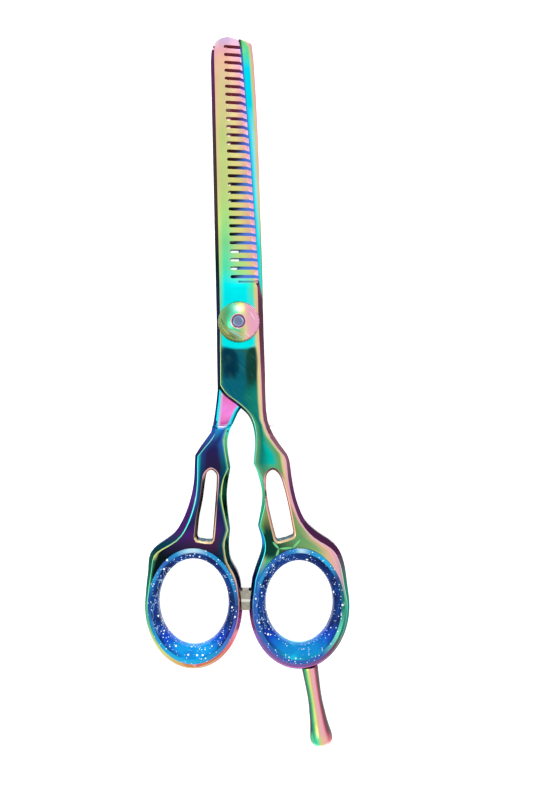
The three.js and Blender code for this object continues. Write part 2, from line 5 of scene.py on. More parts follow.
import bmesh
import bpy
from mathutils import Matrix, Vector


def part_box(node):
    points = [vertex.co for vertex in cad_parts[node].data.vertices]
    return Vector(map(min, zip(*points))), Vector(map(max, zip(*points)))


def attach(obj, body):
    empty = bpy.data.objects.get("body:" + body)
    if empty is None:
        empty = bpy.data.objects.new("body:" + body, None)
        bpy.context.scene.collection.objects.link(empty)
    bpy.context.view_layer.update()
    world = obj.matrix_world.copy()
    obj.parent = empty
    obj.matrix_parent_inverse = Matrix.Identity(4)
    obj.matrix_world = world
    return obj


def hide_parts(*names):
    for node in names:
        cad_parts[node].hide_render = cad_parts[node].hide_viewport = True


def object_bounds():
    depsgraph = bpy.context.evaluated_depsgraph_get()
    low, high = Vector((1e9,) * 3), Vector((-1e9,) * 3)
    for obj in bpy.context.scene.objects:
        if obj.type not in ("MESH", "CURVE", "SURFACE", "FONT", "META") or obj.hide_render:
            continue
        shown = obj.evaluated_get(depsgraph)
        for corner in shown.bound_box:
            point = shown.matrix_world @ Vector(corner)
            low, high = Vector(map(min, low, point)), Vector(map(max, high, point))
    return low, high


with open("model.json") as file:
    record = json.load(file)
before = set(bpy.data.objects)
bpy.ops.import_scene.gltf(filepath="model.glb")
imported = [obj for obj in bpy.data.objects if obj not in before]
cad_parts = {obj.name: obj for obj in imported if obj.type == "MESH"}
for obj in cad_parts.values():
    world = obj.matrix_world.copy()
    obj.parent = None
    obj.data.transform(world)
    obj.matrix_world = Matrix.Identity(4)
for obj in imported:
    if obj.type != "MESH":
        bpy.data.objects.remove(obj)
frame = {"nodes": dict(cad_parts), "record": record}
nodes = frame["nodes"]
cad_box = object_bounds()

MM = 0.001
BODIES = frame["record"]["behaviour"]["bodies"]
BODY_OF = {node: body for body, members in BODIES.items() for node in members}

# Measures taken from the frame

HANDLE_BACK, HANDLE_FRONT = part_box("plain_half")[0].z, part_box("comb_half")[1].z
MID_Z = (HANDLE_BACK + HANDLE_FRONT) / 2
FLOOR_Z = cad_box[0][2]

# Colours of the interference film, by the thickness that brings them; the darkest also serve as painted shade
# and painted reflections of dark surroundings

TINTS = {
    "pearl": "f4e6ea", "lilac": "dcbfe4", "rose": "f8b3c0", "peach": "f5c1a2", "sand": "e8cb9f",
    "wheat": "e6d898", "lemon": "e4ea84", "pear": "c8dc86", "lime": "aee586", "leaf": "80e698",
    "mint": "4fe8b4", "cyan": "00f2f4", "sky": "00e2fb", "turquoise": "6fdcc0", "lagoon": "01bfae",
    "jade": "4eb783", "teal": "128273", "moss": "6aa56a", "olive": "8c8f52", "khaki": "dcd490",
    "salmon": "e6ba98", "blush": "f0b6b4", "pink": "efa9c4", "orchid": "f07cc8", "fuchsia": "ff90f0",
    "magenta": "d04fb0", "mauve": "714d55", "plum": "4a2548", "maroon": "6a2833", "umber": "331a1a",
    "aubergine": "2c2248", "violet": "4b2570", "indigo": "29255c", "navy": "264080", "blue": "2a62b4",
    "azure": "2290cc", "periwinkle": "4a5fc4", "petrol": "086478", "deep": "04334a", "ink": "0a3d58",
    "bottle": "117068", "pine": "2b6a56", "spruce": "123f36", "soot": "0c1a1c", "night": "151f38",
    "charcoal": "40333f", "apricot": "f6cf9c", "straw": "dcd182", "orange": "e08a5a", "coral": "d86a6c",
    "grass": "58c070", "ice": "9fe8f0", "frost": "b4dcf0", "cherry": "ff5aa8", "cobalt": "124c98",
    "bark": "3a302e", "wine": "5e3a48", "fern": "86b272", "lake": "1cabe0", "heather": "8261a4",
    "dusk": "4053ac", "denim": "4d70b4",
}
FILM_EDGE = (0.45, 0.45, 0.5, 1.0)  # how much the film reflects where it is seen edge on


def tint(name):
    """A named colour as linear light."""
    parts = (int(TINTS[name][i:i + 2], 16) / 255 for i in (0, 2, 4))
    return tuple(part / 12.92 if part <= 0.04045 else ((part + 0.055) / 1.055) ** 2.4 for part in parts)


# Node helpers

class Graph:
    """A material's node tree, with short calls for the nodes that the finishes share."""

    def __init__(self, name):
        self.material = bpy.data.materials.new(name)
        self.material.use_nodes = True
        self.tree = self.material.node_tree
        self.shader = self.tree.nodes["Principled BSDF"]
        coordinates = self.node("ShaderNodeTexCoord")
        self.place = coordinates.outputs["Object"]
        self.normal = coordinates.outputs["Normal"]
        self.x, self.y, self.z = (self.math("DIVIDE", socket, MM) for socket in self.split(self.place))

    def node(self, kind, **settings):
        made = self.tree.nodes.new(kind)
        for key, value in settings.items():
            setattr(made, key, value)
        return made

    def feed(self, socket, value):
        if isinstance(value, bpy.types.NodeSocket):
            self.tree.links.new(value, socket)
        elif isinstance(value, str):
            socket.default_value = (*tint(value), 1.0)
        elif value is not None:
            socket.default_value = value

    def math(self, operation, *values):
        made = self.node("ShaderNodeMath", operation=operation)
        for socket, value in zip(made.inputs, values):
            self.feed(socket, value)
        return made.outputs[0]

    def length(self, x, y):
        """How long the vector (x, y) is."""
        squares = self.math("ADD", self.math("MULTIPLY", x, x), self.math("MULTIPLY", y, y))
        return self.math("SQRT", squares)

    def split(self, vector):
        made = self.node("ShaderNodeSeparateXYZ")
        self.feed(made.inputs[0], vector)
        return made.outputs

    def step(self, value, low, high, to_low=0.0, to_high=1.0, kind="SMOOTHSTEP"):
        made = self.node("ShaderNodeMapRange", interpolation_type=kind)
        for socket, given in zip(made.inputs, (value, low, high, to_low, to_high)):
            self.feed(socket, given)
        return made.outputs[0]

    def mix(self, share, a, b, blend="MIX"):
        made = self.node("ShaderNodeMix", data_type="RGBA", blend_type=blend)
        self.feed(made.inputs[0], share)
        self.feed(made.inputs[6], a)
        self.feed(made.inputs[7], b)
        return made.outputs[2]

    def ramp(self, value, stops):
        """Colours along a value: stops are (value, colour name)."""
        ordered = sorted(stops, key=lambda stop: stop[0])
        if len(ordered) == 1:
            return ordered[0][1]
        low, high = ordered[0][0], ordered[-1][0]
        made = self.node("ShaderNodeValToRGB")
        self.feed(made.inputs[0], self.step(value, low, high, kind="LINEAR"))
        elements = made.color_ramp.elements
        while len(elements) < len(ordered):
            elements.new(1.0)
        for element, (at, colour) in zip(elements, ordered):
            element.position = (at - low) / (high - low)
            element.color = (*tint(colour), 1.0)
        return made.outputs[0]

    def curve(self, value, points):
        """A number along a value: points are (value, number)."""
        ordered = sorted(points)
        low, high = ordered[0][0], ordered[-1][0]
        least, most = min(number for _, number in ordered), max(number for _, number in ordered)
        made = self.node("ShaderNodeFloatCurve")
        self.feed(made.inputs[1], self.step(value, low, high, kind="LINEAR"))
        curve = made.mapping.curves[0]
        while len(curve.points) < len(ordered):
            curve.points.new(0.5, 0.5)
        for point, (at, number) in zip(curve.points, ordered):
            point.location = ((at - low) / (high - low), (number - least) / (most - least))
            point.handle_type = "VECTOR"
        made.mapping.update()
        return self.step(made.outputs[0], 0.0, 1.0, least, most, kind="LINEAR")

    def noise(self, scale, detail=3.0, stretch=None, roughness=0.55, turn=0.0):
        place = self.place
        if turn:
            made = self.node("ShaderNodeVectorRotate", rotation_type="Z_AXIS")
            self.feed(made.inputs["Vector"], place)
            made.inputs["Angle"].default_value = turn
            place = made.outputs[0]
        if stretch is not None:
            made = self.node("ShaderNodeVectorMath", operation="MULTIPLY")
            self.feed(made.inputs[0], place)
            self.feed(made.inputs[1], stretch)
            place = made.outputs[0]
        made = self.node("ShaderNodeTexNoise")
        self.feed(made.inputs["Vector"], place)
        made.inputs["Scale"].default_value = scale
        made.inputs["Detail"].default_value = detail
        made.inputs["Roughness"].default_value = roughness
        return made.outputs[0]

    def grey(self, value):
        made = self.node("ShaderNodeCombineColor")
        for socket in made.inputs:
            self.feed(socket, value)
        return made.outputs[0]

    def spot(self, centre, radii, lean=0.0):
        """1 within an ellipse about a point, in millimetres, fading to 0 at its edge."""
        dx, dy = self.math("SUBTRACT", self.x, centre[0]), self.math("SUBTRACT", self.y, centre[1])
        c, s = math.cos(lean), math.sin(lean)
        along = self.math("MULTIPLY", dx, c / radii[0])
        along = self.math("ADD", along, self.math("MULTIPLY", dy, s / radii[0]))
        over = self.math("MULTIPLY", dx, -s / radii[1])
        over = self.math("ADD", over, self.math("MULTIPLY", dy, c / radii[1]))
        far = self.math("ADD", self.math("MULTIPLY", along, along), self.math("MULTIPLY", over, over))
        return self.step(far, 1.0, 0.35)

    def line(self, start, end, width):
        """1 along a line between two points, in millimetres, fading to 0 at its width to each side."""
        middle = ((start[0] + end[0]) / 2, (start[1] + end[1]) / 2)
        length = math.dist(start, end)
        lean = math.atan2(end[1] - start[1], end[0] - start[0])
        return self.spot(middle, (length / 2 + width / 2, width), lean)

    def bump(self, height, strength, distance):
        made = self.node("ShaderNodeBump")
        made.inputs["Strength"].default_value = strength
        made.inputs["Distance"].default_value = distance
        self.feed(made.inputs["Height"], height)
        self.feed(self.shader.inputs["Normal"], made.outputs[0])

    def finish(self, **values):
        for key, value in values.items():
            self.feed(self.shader.inputs[key], value)
        return self.material

    def polish(self, colour, low=0.1, high=0.2, dull=0.0):
        """Finishes a material as polished coated steel, with faint smears and fine scratches."""
        smear = self.grey(self.step(self.noise(150.0, 4.0), 0.3, 0.7, 0.94, 1.03))
        colour = self.mix(1.0, colour, smear, "MULTIPLY")
        scratches = self.noise(1500.0, 2.0, (1.0, 0.12, 1.0), 0.7)
        self.bump(self.math("ADD", self.math("MULTIPLY", scratches, 0.3), self.noise(220.0)), 0.06, 0.00006)
        roughness = self.math("MAXIMUM", self.step(self.noise(420.0, 4.0), 0.3, 0.75, low, high), dull)
        return self.finish(**{"Base Color": colour, "Metallic": 1.0, "Roughness": roughness,
                              "Specular Tint": FILM_EDGE})


# The coated steel of the two halves. Places along the blades and across them are in millimetres.

COMB_LEFT = [(74, -6.2), (60, -6.5), (20, -5.4), (0, -5.0), (-16, -5.0), (-19, -3.3), (-21.6, 0.1),
             (-24.1, 2.8), (-26.8, 4.1), (-31, 4.6), (-36.6, 4.1), (-44, 6.8), (-53, 5.3), (-59, 6.8),
             (-63.5, 5.4), (-68, 3.9), (-74, 3.6), (-84, 6.4), (-91, 15.7)]
COMB_RIGHT = [(74, 0.2), (72, 0.5), (41.5, 3.0), (11, 5.0), (3, 5.0), (-3, 5.3), (-14, 5.9), (-20, 6.1),
              (-25.6, 6.6), (-29.4, 8.1), (-34.4, 11.8), (-41.2, 12.9), (-46.5, 14.1), (-51.7, 16.5),
              (-56.1, 19.8), (-59, 24), (-61, 25.3), (-64, 26.4), (-68.5, 27.5), (-74, 28.2), (-84, 25.5),
              (-91, 15.8)]
PLAIN_LEFT = [(74, -4.4), (46, -3.5), (20, -2.7), (12, -2.9), (8, -4.4), (4, -5.0), (-16, -5.0),
              (-24, -5.8), (-28, -6.2), (-30.5, -7.5), (-33.8, -10.4), (-41.6, -10.8), (-46.5, -11.4),
              (-51.7, -13.3), (-56, -17.5), (-60, -21.5), (-65, -23.0), (-74, -23.9), (-84, -20.2),
              (-91, -12.0)]
PLAIN_RIGHT = [(75, 0.3), (74, 2.7), (72.4, 3.5), (66.4, 4.0), (49.3, 4.9), (27, 5.7), (8.6, 6.2),
               (-16, 5.1), (-22.8, -0.5), (-28, -3.0), (-30.9, -3.7), (-37.9, -2.6), (-44.9, -4.5),
               (-53.9, -2.7), (-57.6, -3.7), (-61.8, -3.1), (-67.5, -0.6), (-74, 0.2), (-84, -3.6),
               (-91, -12.0)]

# Columns across a face: which edge they stand off, by how much, and their colours along the blades. The
# colours are the film's own together with painted reflections, dark where a face mirrors dark surroundings
COMB_FACE = [
    ("left", 0.0, [(75, "pearl"), (73.4, "pearl"), (71, "rose"), (68, "peach"), (60, "peach"),
                   (50, "apricot"), (42, "sand"), (34, "wheat"), (26, "lemon"), (19, "pear"),
                   (13, "lime"), (9, "leaf"), (2, "leaf"), (-6, "moss"), (-14, "pine"), (-19, "jade"),
                   (-25, "jade"), (-31, "moss"), (-36, "moss"), (-42, "fern"), (-48, "fern"),
                   (-54, "grass"), (-60, "khaki"), (-66, "blue"), (-78, "blue"), (-86, "heather"),
                   (-90, "heather")]),
    ("left", 1.6, [(75, "lilac"), (73.4, "lilac"), (71.5, "rose"), (69, "peach"), (65, "sand"),
                   (61, "wheat"), (56, "khaki"), (48, "pear"), (36, "pear"), (28, "lime"), (21, "leaf"),
                   (14, "mint"), (10, "cyan"), (-6.2, "sky"), (-6.9, "petrol"), (-9, "deep"),
                   (-13, "ink"), (-16, "petrol"), (-20, "petrol"), (-25, "bottle"), (-31, "teal"),
                   (-36.4, "teal"), (-41, "moss"), (-50, "olive"), (-54, "spruce"), (-60, "spruce"),
                   (-62, "jade"), (-66, "azure"), (-80, "azure"), (-88, "heather")]),
    ("right", 3.4, [(75, "lilac"), (73.4, "lilac"), (71.5, "rose"), (68, "peach"), (62, "sand"),
                    (50, "wheat"), (36, "straw"), (22, "straw"), (13, "lime"), (10, "cyan"),
                    (-6.2, "sky"), (-6.9, "pine"), (-14, "spruce"), (-18, "bottle"), (-25, "teal"),
                    (-29, "teal"), (-33, "lagoon"), (-36.4, "lagoon"), (-37.2, "jade"), (-41, "moss"),
                    (-46, "olive"), (-52, "olive"), (-56, "moss"), (-59, "fern"), (-62, "khaki"),
                    (-66, "salmon"), (-80, "teal"), (-88, "heather")]),
    ("right", 1.5, [(75, "lilac"), (70, "rose"), (62, "blush"), (48, "salmon"), (20, "salmon"),
                    (13, "straw"), (10, "mint"), (4, "turquoise"), (-6.2, "turquoise"), (-6.9, "spruce"),
                    (-14, "spruce"), (-18, "teal"), (-25, "teal"), (-30, "jade"), (-34, "moss"),
                    (-37, "moss"), (-42, "olive"), (-48, "olive"), (-54, "fern"), (-60, "salmon"),
                    (-66, "blush"), (-74, "jade"), (-84, "heather"), (-90, "heather")]),
    ("right", 0.7, [(75, "lilac"), (70, "rose"), (60, "pink"), (20, "blush"), (13, "salmon"),
                    (10, "straw"), (-6, "wheat"), (-20, "wheat"), (-30, "wheat"), (-36, "khaki"),
                    (-44, "salmon"), (-50, "blush"), (-58, "peach"), (-66, "pink"), (-72, "jade"),
                    (-80, "teal"), (-84, "mauve"), (-90, "heather")]),
    ("right", 0.2, [(75, "lilac"), (60, "lilac"), (30, "pink"), (11, "pink"), (9, "peach"),
                    (-14, "peach"), (-30, "peach"), (-44, "pink"), (-60, "pink"), (-72, "jade"),
                    (-80, "teal"), (-84, "mauve"), (-90, "heather")]),
]
PLAIN_FACE = [
    # The first column, just right of the teeth, is a painted reflection of the teeth: dark at the tip, then
    # blue
    ("comb", 0.1, [(75, "wine"), (73, "spruce"), (71, "navy"), (69, "dusk"), (60, "dusk"), (42, "denim"),
                   (10, "denim"), (4, "ink"), (0, "petrol")]),
    ("comb", 0.45, [(75, "grass"), (72, "leaf"), (70, "mint"), (67, "sky"), (42, "sky"), (34, "cyan"),
                    (8, "sky"), (0, "petrol")]),
    ("right", [(74, 1.3), (62, 1.2), (46, 1.0), (34, 0.8), (20, 0.55), (8, 0.5)],
     [(75, "leaf"), (71, "mint"), (67, "sky"), (57, "sky"), (50, "ice"), (30, "ice"), (20, "cyan"),
      (8, "sky"), (0, "petrol")]),
    ("right", [(74, 0.9), (62, 0.8), (46, 0.6), (34, 0.4), (8, 0.3)],
     [(75, "khaki"), (71, "pear"), (66, "pear"), (48, "pear"), (34, "khaki"), (20, "turquoise"),
      (8, "mint")]),
    ("right", [(74, 0.4), (62, 0.4), (46, 0.3), (34, 0.2), (8, 0.15)],
     [(75, "pink"), (69, "salmon"), (58, "peach"), (40, "peach"), (30, "khaki"), (20, "moss"),
      (8, "moss")]),
    ("right", 0.0, [(75, "pink"), (69, "pink"), (58, "pink"), (40, "blush"), (30, "salmon"), (20, "moss"),
                    (8, "moss")]),
]

# The plain blade's colours under the teeth: painted shade by their roots, and a painted blue reflection of
# the teeth by their ends
COVERED = [(76, "maroon"), (56, "maroon"), (44, "umber"), (34, "soot"), (10, "soot")]
COVERED_EDGE = [(60, "dusk"), (42, "denim")]

LAP_FACE = [
    ("left", 0.0, [(-14, "cyan"), (-26.7, "cyan"), (-27.6, "azure")]),
    ("left", 0.3, [(-14, "sky"), (-24, "cyan"), (-26.6, "cyan"), (-27.6, "azure")]),
    ("left", 0.75, [(-14, "lilac"), (-26.4, "lilac"), (-27.2, "lilac"), (-27.9, "cyan")]),
    ("left", 1.3, [(-14, "cherry"), (-17, "cherry"), (-20, "orchid"), (-22.5, "fuchsia"),
                   (-25.6, "orchid"), (-26.5, "magenta"), (-27.1, "lilac"), (-27.9, "sky")]),
    ("right", 1.0, [(-14, "cherry"), (-20.8, "cherry"), (-22.5, "orchid"), (-24.5, "fuchsia"),
                    (-25.6, "orchid"), (-26.5, "magenta"), (-27.1, "lilac"), (-27.9, "sky")]),
    ("right", 0.4, [(-14, "cherry"), (-19.8, "magenta"), (-20.4, "azure"), (-24, "cyan"), (-27, "sky"),
                    (-27.8, "cyan")]),
]
SHANK_FACE = [
    ("left", 0.0, [(-28, "azure"), (-34, "lagoon"), (-44, "azure"), (-50, "azure"), (-55, "lagoon"),
                   (-60, "lemon"), (-62, "pine"), (-70, "jade"), (-80, "grass"), (-86, "lemon"),
                   (-90, "orange")]),
    ("left", 0.9, [(-28, "azure"), (-31, "navy"), (-35, "navy"), (-41, "ink"), (-48, "navy"),
                   (-53, "aubergine"), (-57, "night"), (-60, "soot"), (-66, "soot"), (-72, "pine"),
                   (-80, "lime"), (-88, "orange")]),
    ("left", 2.4, [(-28, "blue"), (-30, "navy"), (-33, "indigo"), (-37, "aubergine"), (-44, "night"),
                   (-52, "indigo"), (-55, "violet"), (-58, "aubergine"), (-61, "soot"), (-66, "soot"),
                   (-74, "pine"), (-82, "lemon"), (-88, "orange")]),
    ("right", 2.6, [(-28, "blue"), (-30, "navy"), (-33, "indigo"), (-37, "aubergine"), (-44, "night"),
                    (-50, "indigo"), (-54, "violet"), (-57, "plum"), (-61, "night"), (-67, "azure"),
                    (-80, "blush")]),
    ("right", 0.9, [(-28, "azure"), (-31, "blue"), (-36, "petrol"), (-40, "ink"), (-46, "ink"),
                    (-50, "indigo"), (-58, "ink"), (-66, "soot"), (-72, "plum"), (-80, "coral")]),
    ("right", 0.0, [(-28, "lime"), (-36, "turquoise"), (-44, "jade"), (-50, "turquoise"), (-60, "khaki"),
                    (-66, "salmon"), (-72, "pink"), (-80, "pink"), (-86, "coral"), (-90, "orange")]),
]


def across(g, edges, columns, row=None):
    """Colours over a face, blended from each column to the next. Every edge is a list of (y, x)."""
    if row is None:
        row = g.math("ADD", g.y, g.math("MULTIPLY", g.math("SUBTRACT", g.noise(70.0, 2.0), 0.5), 0.9))
    edges = {edge: g.curve(g.y, points) for edge, points in edges.items()}
    colour, before = None, None
    for edge, width, stops in columns:
        width = g.curve(g.y, width) if isinstance(width, list) else width
        place = g.math("SUBTRACT" if edge == "right" else "ADD", edges[edge], width)
        paint = g.ramp(row, stops)
        if before is None:
            colour = paint
        else:
            place = g.math("MAXIMUM", place, g.math("ADD", before, 0.1))
            colour = g.mix(g.step(g.x, before, place), colour, paint)
        before = place
    return colour


# Painted reflections of dark surroundings below the dial: centre, radii, lean, colour
RICASSO_DARK_REFLECTIONS = [
    ((0.6, -12.0), (2.0, 6.5), 0.05, "petrol"),
    ((-1.6, -17.5), (3.6, 3.4), -0.5, "petrol"),
    ((-2.4, -10.2), (2.9, 5.0), 0.3, "deep"),
    ((3.3, -11.0), (1.9, 6.4), -0.04, "spruce"),
]
CREASES = [((9.7, -61.0), (10.4, -58.8)), ((10.4, -58.8), (14.2, -58.5)), ((14.0, -58.6), (16.0, -56.4)),
           ((10.4, -58.8), (8.8, -57.0))]  # over the finger ring
TEETH_TOP_Y, SLOTS_END_Y = 72.4, 9.0  # the row of slots lies between these


def comb_face():
    """The comb half's face: a painted reflection round the dial, painted reflections of dark surroundings
    below it, creases and hairline scratches.
    """
    g = Graph("comb_film")
    colour = across(g, {"left": COMB_LEFT, "right": COMB_RIGHT}, COMB_FACE)
    # Painted reflection of the dial: cyan round its lower side, down to an arc
    arc = g.math("ADD", g.y, g.math("MULTIPLY", g.math("MULTIPLY", g.x, g.x), -0.05))
    dial_reflection = g.math("MULTIPLY", g.step(arc, -7.3, -6.3), g.step(g.y, SLOTS_END_Y, 2.0))
    dial_reflection = g.math("MULTIPLY", dial_reflection, g.math("MULTIPLY", g.step(g.x, -4.7, -3.9), g.step(g.x, 4.6, 3.4)))
    colour = g.mix(dial_reflection, colour, "cyan")
    # Painted reflections of dark surroundings, below the dial's arc
    for centre, radii, lean, name in RICASSO_DARK_REFLECTIONS:
        patch = g.math("MULTIPLY", g.spot(centre, radii, lean), g.step(arc, -6.6, -7.6))
        colour = g.mix(g.math("MULTIPLY", patch, 0.85), colour, name)
    dark = g.math("MULTIPLY", g.step(g.y, -54.0, -55.4), g.step(g.x, 9.9, 8.9))
    colour = g.mix(g.math("MULTIPLY", dark, g.step(g.y, -62.0, -60.0)), colour, "spruce")
    for start, end in CREASES:
        colour = g.mix(g.math("MULTIPLY", g.line(start, end, 0.34), 0.85), colour, "leaf")
    hairlines = g.step(g.noise(9000.0, 1.0, (1.0, 0.03, 1.0), 0.4, -0.7), 0.6, 0.72)
    steel = g.math("MULTIPLY", g.step(g.y, -6.0, -9.0), g.step(g.y, -26.0, -20.0))
    colour = g.mix(g.math("MULTIPLY", g.math("MULTIPLY", hairlines, steel), 0.16), colour, "turquoise")
    teeth = g.math("MULTIPLY", g.math("GREATER_THAN", g.y, SLOTS_END_Y), g.step(g.x, -4.8, -1.0))
    return g.polish(colour, dull=g.math("MULTIPLY", teeth, 0.45))


BLADE_END_Y = -12.0  # where the plain blade's colours give way to the lap's
LAP_MIDDLE_X, LAP_END_Y = -4.6, -27.92  # the bowed foot of the lap's step


def plain_face():
    """The plain half's face: the blade, the part of it under the teeth (painted shade, painted reflection and
    glints, with a faint glow), the lap's panel and the shank.
    """
    g = Graph("plain_film")
    edges = {"left": PLAIN_LEFT, "right": PLAIN_RIGHT}
    blade = across(g, {"comb": COMB_RIGHT, "right": PLAIN_RIGHT}, PLAIN_FACE)
    # Under the teeth the blade is painted as shade, with a painted blue reflection near the teeth's ends and
    # painted glints of light at a few slot roots
    teeth = g.math("MULTIPLY", g.math("GREATER_THAN", g.y, SLOTS_END_Y),
                   g.math("LESS_THAN", g.y, TEETH_TOP_Y))
    covered = g.math("LESS_THAN", g.x, g.math("ADD", g.curve(g.y, COMB_RIGHT), 0.1))
    covered = g.math("MULTIPLY", covered, teeth)
    under = g.mix(g.step(g.x, -1.6, 0.6), g.ramp(g.y, COVERED), g.ramp(g.y, COVERED_EDGE))
    glints = g.math("ADD", g.math("COMPARE", g.y, 51.0, 4.4), g.math("COMPARE", g.y, 34.6, 3.0))
    under = g.mix(g.math("MULTIPLY", glints, g.step(g.x, -2.0, -2.7)), under, "pearl")
    blade = g.mix(covered, blade, under)
    off_middle = g.math("SUBTRACT", g.x, LAP_MIDDLE_X)
    bowed = g.math("SUBTRACT", g.y, g.math("MULTIPLY", g.math("MULTIPLY", off_middle, off_middle), 0.125))
    panel = across(g, edges, LAP_FACE, bowed)
    shank = across(g, edges, SHANK_FACE)
    colour = g.mix(g.math("LESS_THAN", g.y, BLADE_END_Y), blade, panel)
    colour = g.mix(g.math("LESS_THAN", bowed, LAP_END_Y), colour, shank)
    foot = g.math("MULTIPLY", g.step(bowed, -26.9, -27.2), g.math("GREATER_THAN", bowed, LAP_END_Y - 0.03))
    # The part under the teeth glows a little: painted light that lifts it out of its real shade
    g.finish(**{"Emission Color": colour, "Emission Strength": g.math("MULTIPLY", covered, 0.95)})
    return g.polish(colour, dull=g.math("MULTIPLY", foot, 0.4))


def sides(name, left, right, low=0.12, high=0.24):
    """Bevels and walls, with one ramp for those that face left and one for those that face right: painted
    reflections that differ by the way a side faces.
    """
    g = Graph(name)
    nx = g.split(g.normal)[0]
    colour = g.mix(g.step(nx, -0.3, 0.3), g.ramp(g.y, left), g.ramp(g.y, right))
    return g.polish(colour, low, high)


# Sides are painted as reflections, dark where the walls mirror dark surroundings; ridge strips are painted as
# highlights along the faces' edges
COMB_SIDES = ([(76, "lilac"), (73.6, "plum"), (60, "plum"), (46, "bark"), (32, "bark"), (16, "soot"),
               (6, "night"), (-14, "night"), (-18, "soot"), (-20, "plum"), (-23.6, "mauve"),
               (-27, "teal"), (-36, "turquoise"), (-44, "jade"), (-52, "teal"), (-56, "azure"),
               (-62, "blue"), (-70, "blue"), (-78, "heather"), (-90, "heather")],
              [(76, "pink"), (11.5, "rose"), (10.5, "wine"), (-24, "wine"), (-32, "mauve"), (-44, "plum"),
               (-60, "plum"), (-68, "pine"), (-76, "teal"), (-83, "mauve"), (-90, "heather")])
COMB_RIDGES = ([(76, "pearl"), (70, "pearl"), (60, "peach"), (36, "lemon"), (18, "lime"), (6, "lemon"),
                (-15, "lime"), (-22, "lime"), (-28, "turquoise"), (-36, "jade"), (-44, "turquoise"),
                (-50, "mint"), (-54, "cyan"), (-62, "cyan"), (-70, "azure"), (-84, "heather"),
                (-90, "orchid")],
               [(76, "pearl"), (60, "pink"), (12, "pink"), (6, "rose"), (-34, "pink"), (-60, "rose"),
                (-66, "pearl"), (-74, "turquoise"), (-82, "jade"), (-86, "mauve"), (-90, "orchid")])
PLAIN_SIDES = ([(76, "pink"), (70, "plum"), (8, "night"), (-17, "night"), (-27, "navy"), (-30, "navy"),
                (-34, "aubergine"), (-42, "indigo"), (-47, "violet"), (-54, "violet"), (-57.5, "ink"),
                (-61, "spruce"), (-70, "pine"), (-78, "jade"), (-84, "lemon"), (-90, "orange")],
               [(76, "pink"), (68, "blush"), (50, "salmon"), (34, "khaki"), (20, "moss"), (10, "spruce"),
                (-12, "spruce"), (-20, "azure"), (-27, "sky"), (-30, "jade"), (-37, "pine"),
                (-46, "spruce"), (-54, "pine"), (-60, "moss"), (-65, "mauve"), (-76, "rose"),
                (-84, "coral"), (-90, "orange")])
PLAIN_RIDGES = ([(76, "pink"), (10, "night"), (-14, "cyan"), (-26, "sky"), (-29, "ice"), (-36, "cyan"),
                 (-46, "turquoise"), (-52, "cyan"), (-56, "mint"), (-59.4, "lemon"), (-62, "jade"),
                 (-70, "mint"), (-78, "grass"), (-84, "lemon"), (-90, "salmon")],
                [(76, "pink"), (66, "blush"), (40, "salmon"), (24, "turquoise"), (10, "moss"),
                 (-14, "cyan"), (-26, "sky"), (-28, "pearl"), (-32, "lime"), (-44, "lemon"),
                 (-52, "lemon"), (-60, "khaki"), (-68, "blush"), (-76, "pink"), (-84, "coral"),
                 (-90, "lemon")])


def slot_walls():
    """The walls between the teeth: painted shade at their roots, a painted blue reflection where they near
    the plain blade's edge, and a faint glow that lifts them out of their real shadow.
    """
    g = Graph("slot_film")
    # Painted shade at the roots, mottled with umber, and a painted blue reflection towards the plain blade's
    # edge
    root = g.mix(g.step(g.noise(800.0), 0.3, 0.9), g.ramp(g.y, COVERED), "umber")
    colour = g.mix(g.step(g.x, -0.6, 2.4), root, g.ramp(g.y, COVERED_EDGE))
    g.bump(g.noise(1200.0), 0.2, 0.00006)
    # The emission is painted light on walls that lie in shade
    return g.finish(**{"Base Color": colour, "Metallic": 0.3, "Specular IOR Level": 0.1,
                       "Roughness": g.step(g.noise(900.0), 0.3, 0.7, 0.3, 0.45),
                       "Emission Color": colour, "Emission Strength": 0.8})


def window_rim(name, stops, shaded_side):
    """The narrow chamfer round a handle's window, and how dark its left side is."""
    g = Graph(name)
    nx = g.split(g.normal)[0]
    straight = g.math("MULTIPLY", g.step(g.y, -39.6, -41.5), g.step(g.y, -56.2, -55.6))
    shade = g.math("MULTIPLY", g.math("MULTIPLY", straight, g.step(nx, 0.1, 0.3)), shaded_side)
    return g.polish(g.mix(shade, g.ramp(g.y, stops), "soot"), 0.14, 0.26)


def window_walls(name):
    """The rough-cut walls of a handle's window, painted dark as shade where they face right."""
    g = Graph(name)
    nx, ny, _ = g.split(g.normal)
    # Painted shade: mauve where a wall faces left, soot where it faces right
    colour = g.mix(g.step(nx, -0.4, 0.5), "mauve", "soot")
    ground = g.mix(g.step(g.noise(1100.0, 5.0), 0.35, 0.7), "soot", "frost")
    colour = g.mix(g.step(ny, 0.5, 0.85), colour, ground)
    g.bump(g.noise(1300.0, 5.0), 0.5, 0.0002)
    return g.finish(**{"Base Color": colour, "Specular IOR Level": 0.0,
                       "Roughness": g.step(g.noise(900.0), 0.3, 0.7, 0.6, 0.8)})


DIAL_KNURLS = 88
DIAL_STREAKS = [
    ((-4.3, -1.4), (-1.4, -4.5), "pear"),
    ((-3.2, -2.0), (1.6, -4.5), "ice"),
    ((-2.2, -2.2), (1.2, -3.6), "wheat"),
    ((-4.6, 0.8), (-3.6, -1.2), "spruce"),
    ((-2.9, -3.3), (-0.6, -4.4), "spruce"),
    ((1.5, -2.6), (2.9, -4.0), "pearl"),
    ((2.9, 2.6), (4.3, 0.2), "pearl"),
]


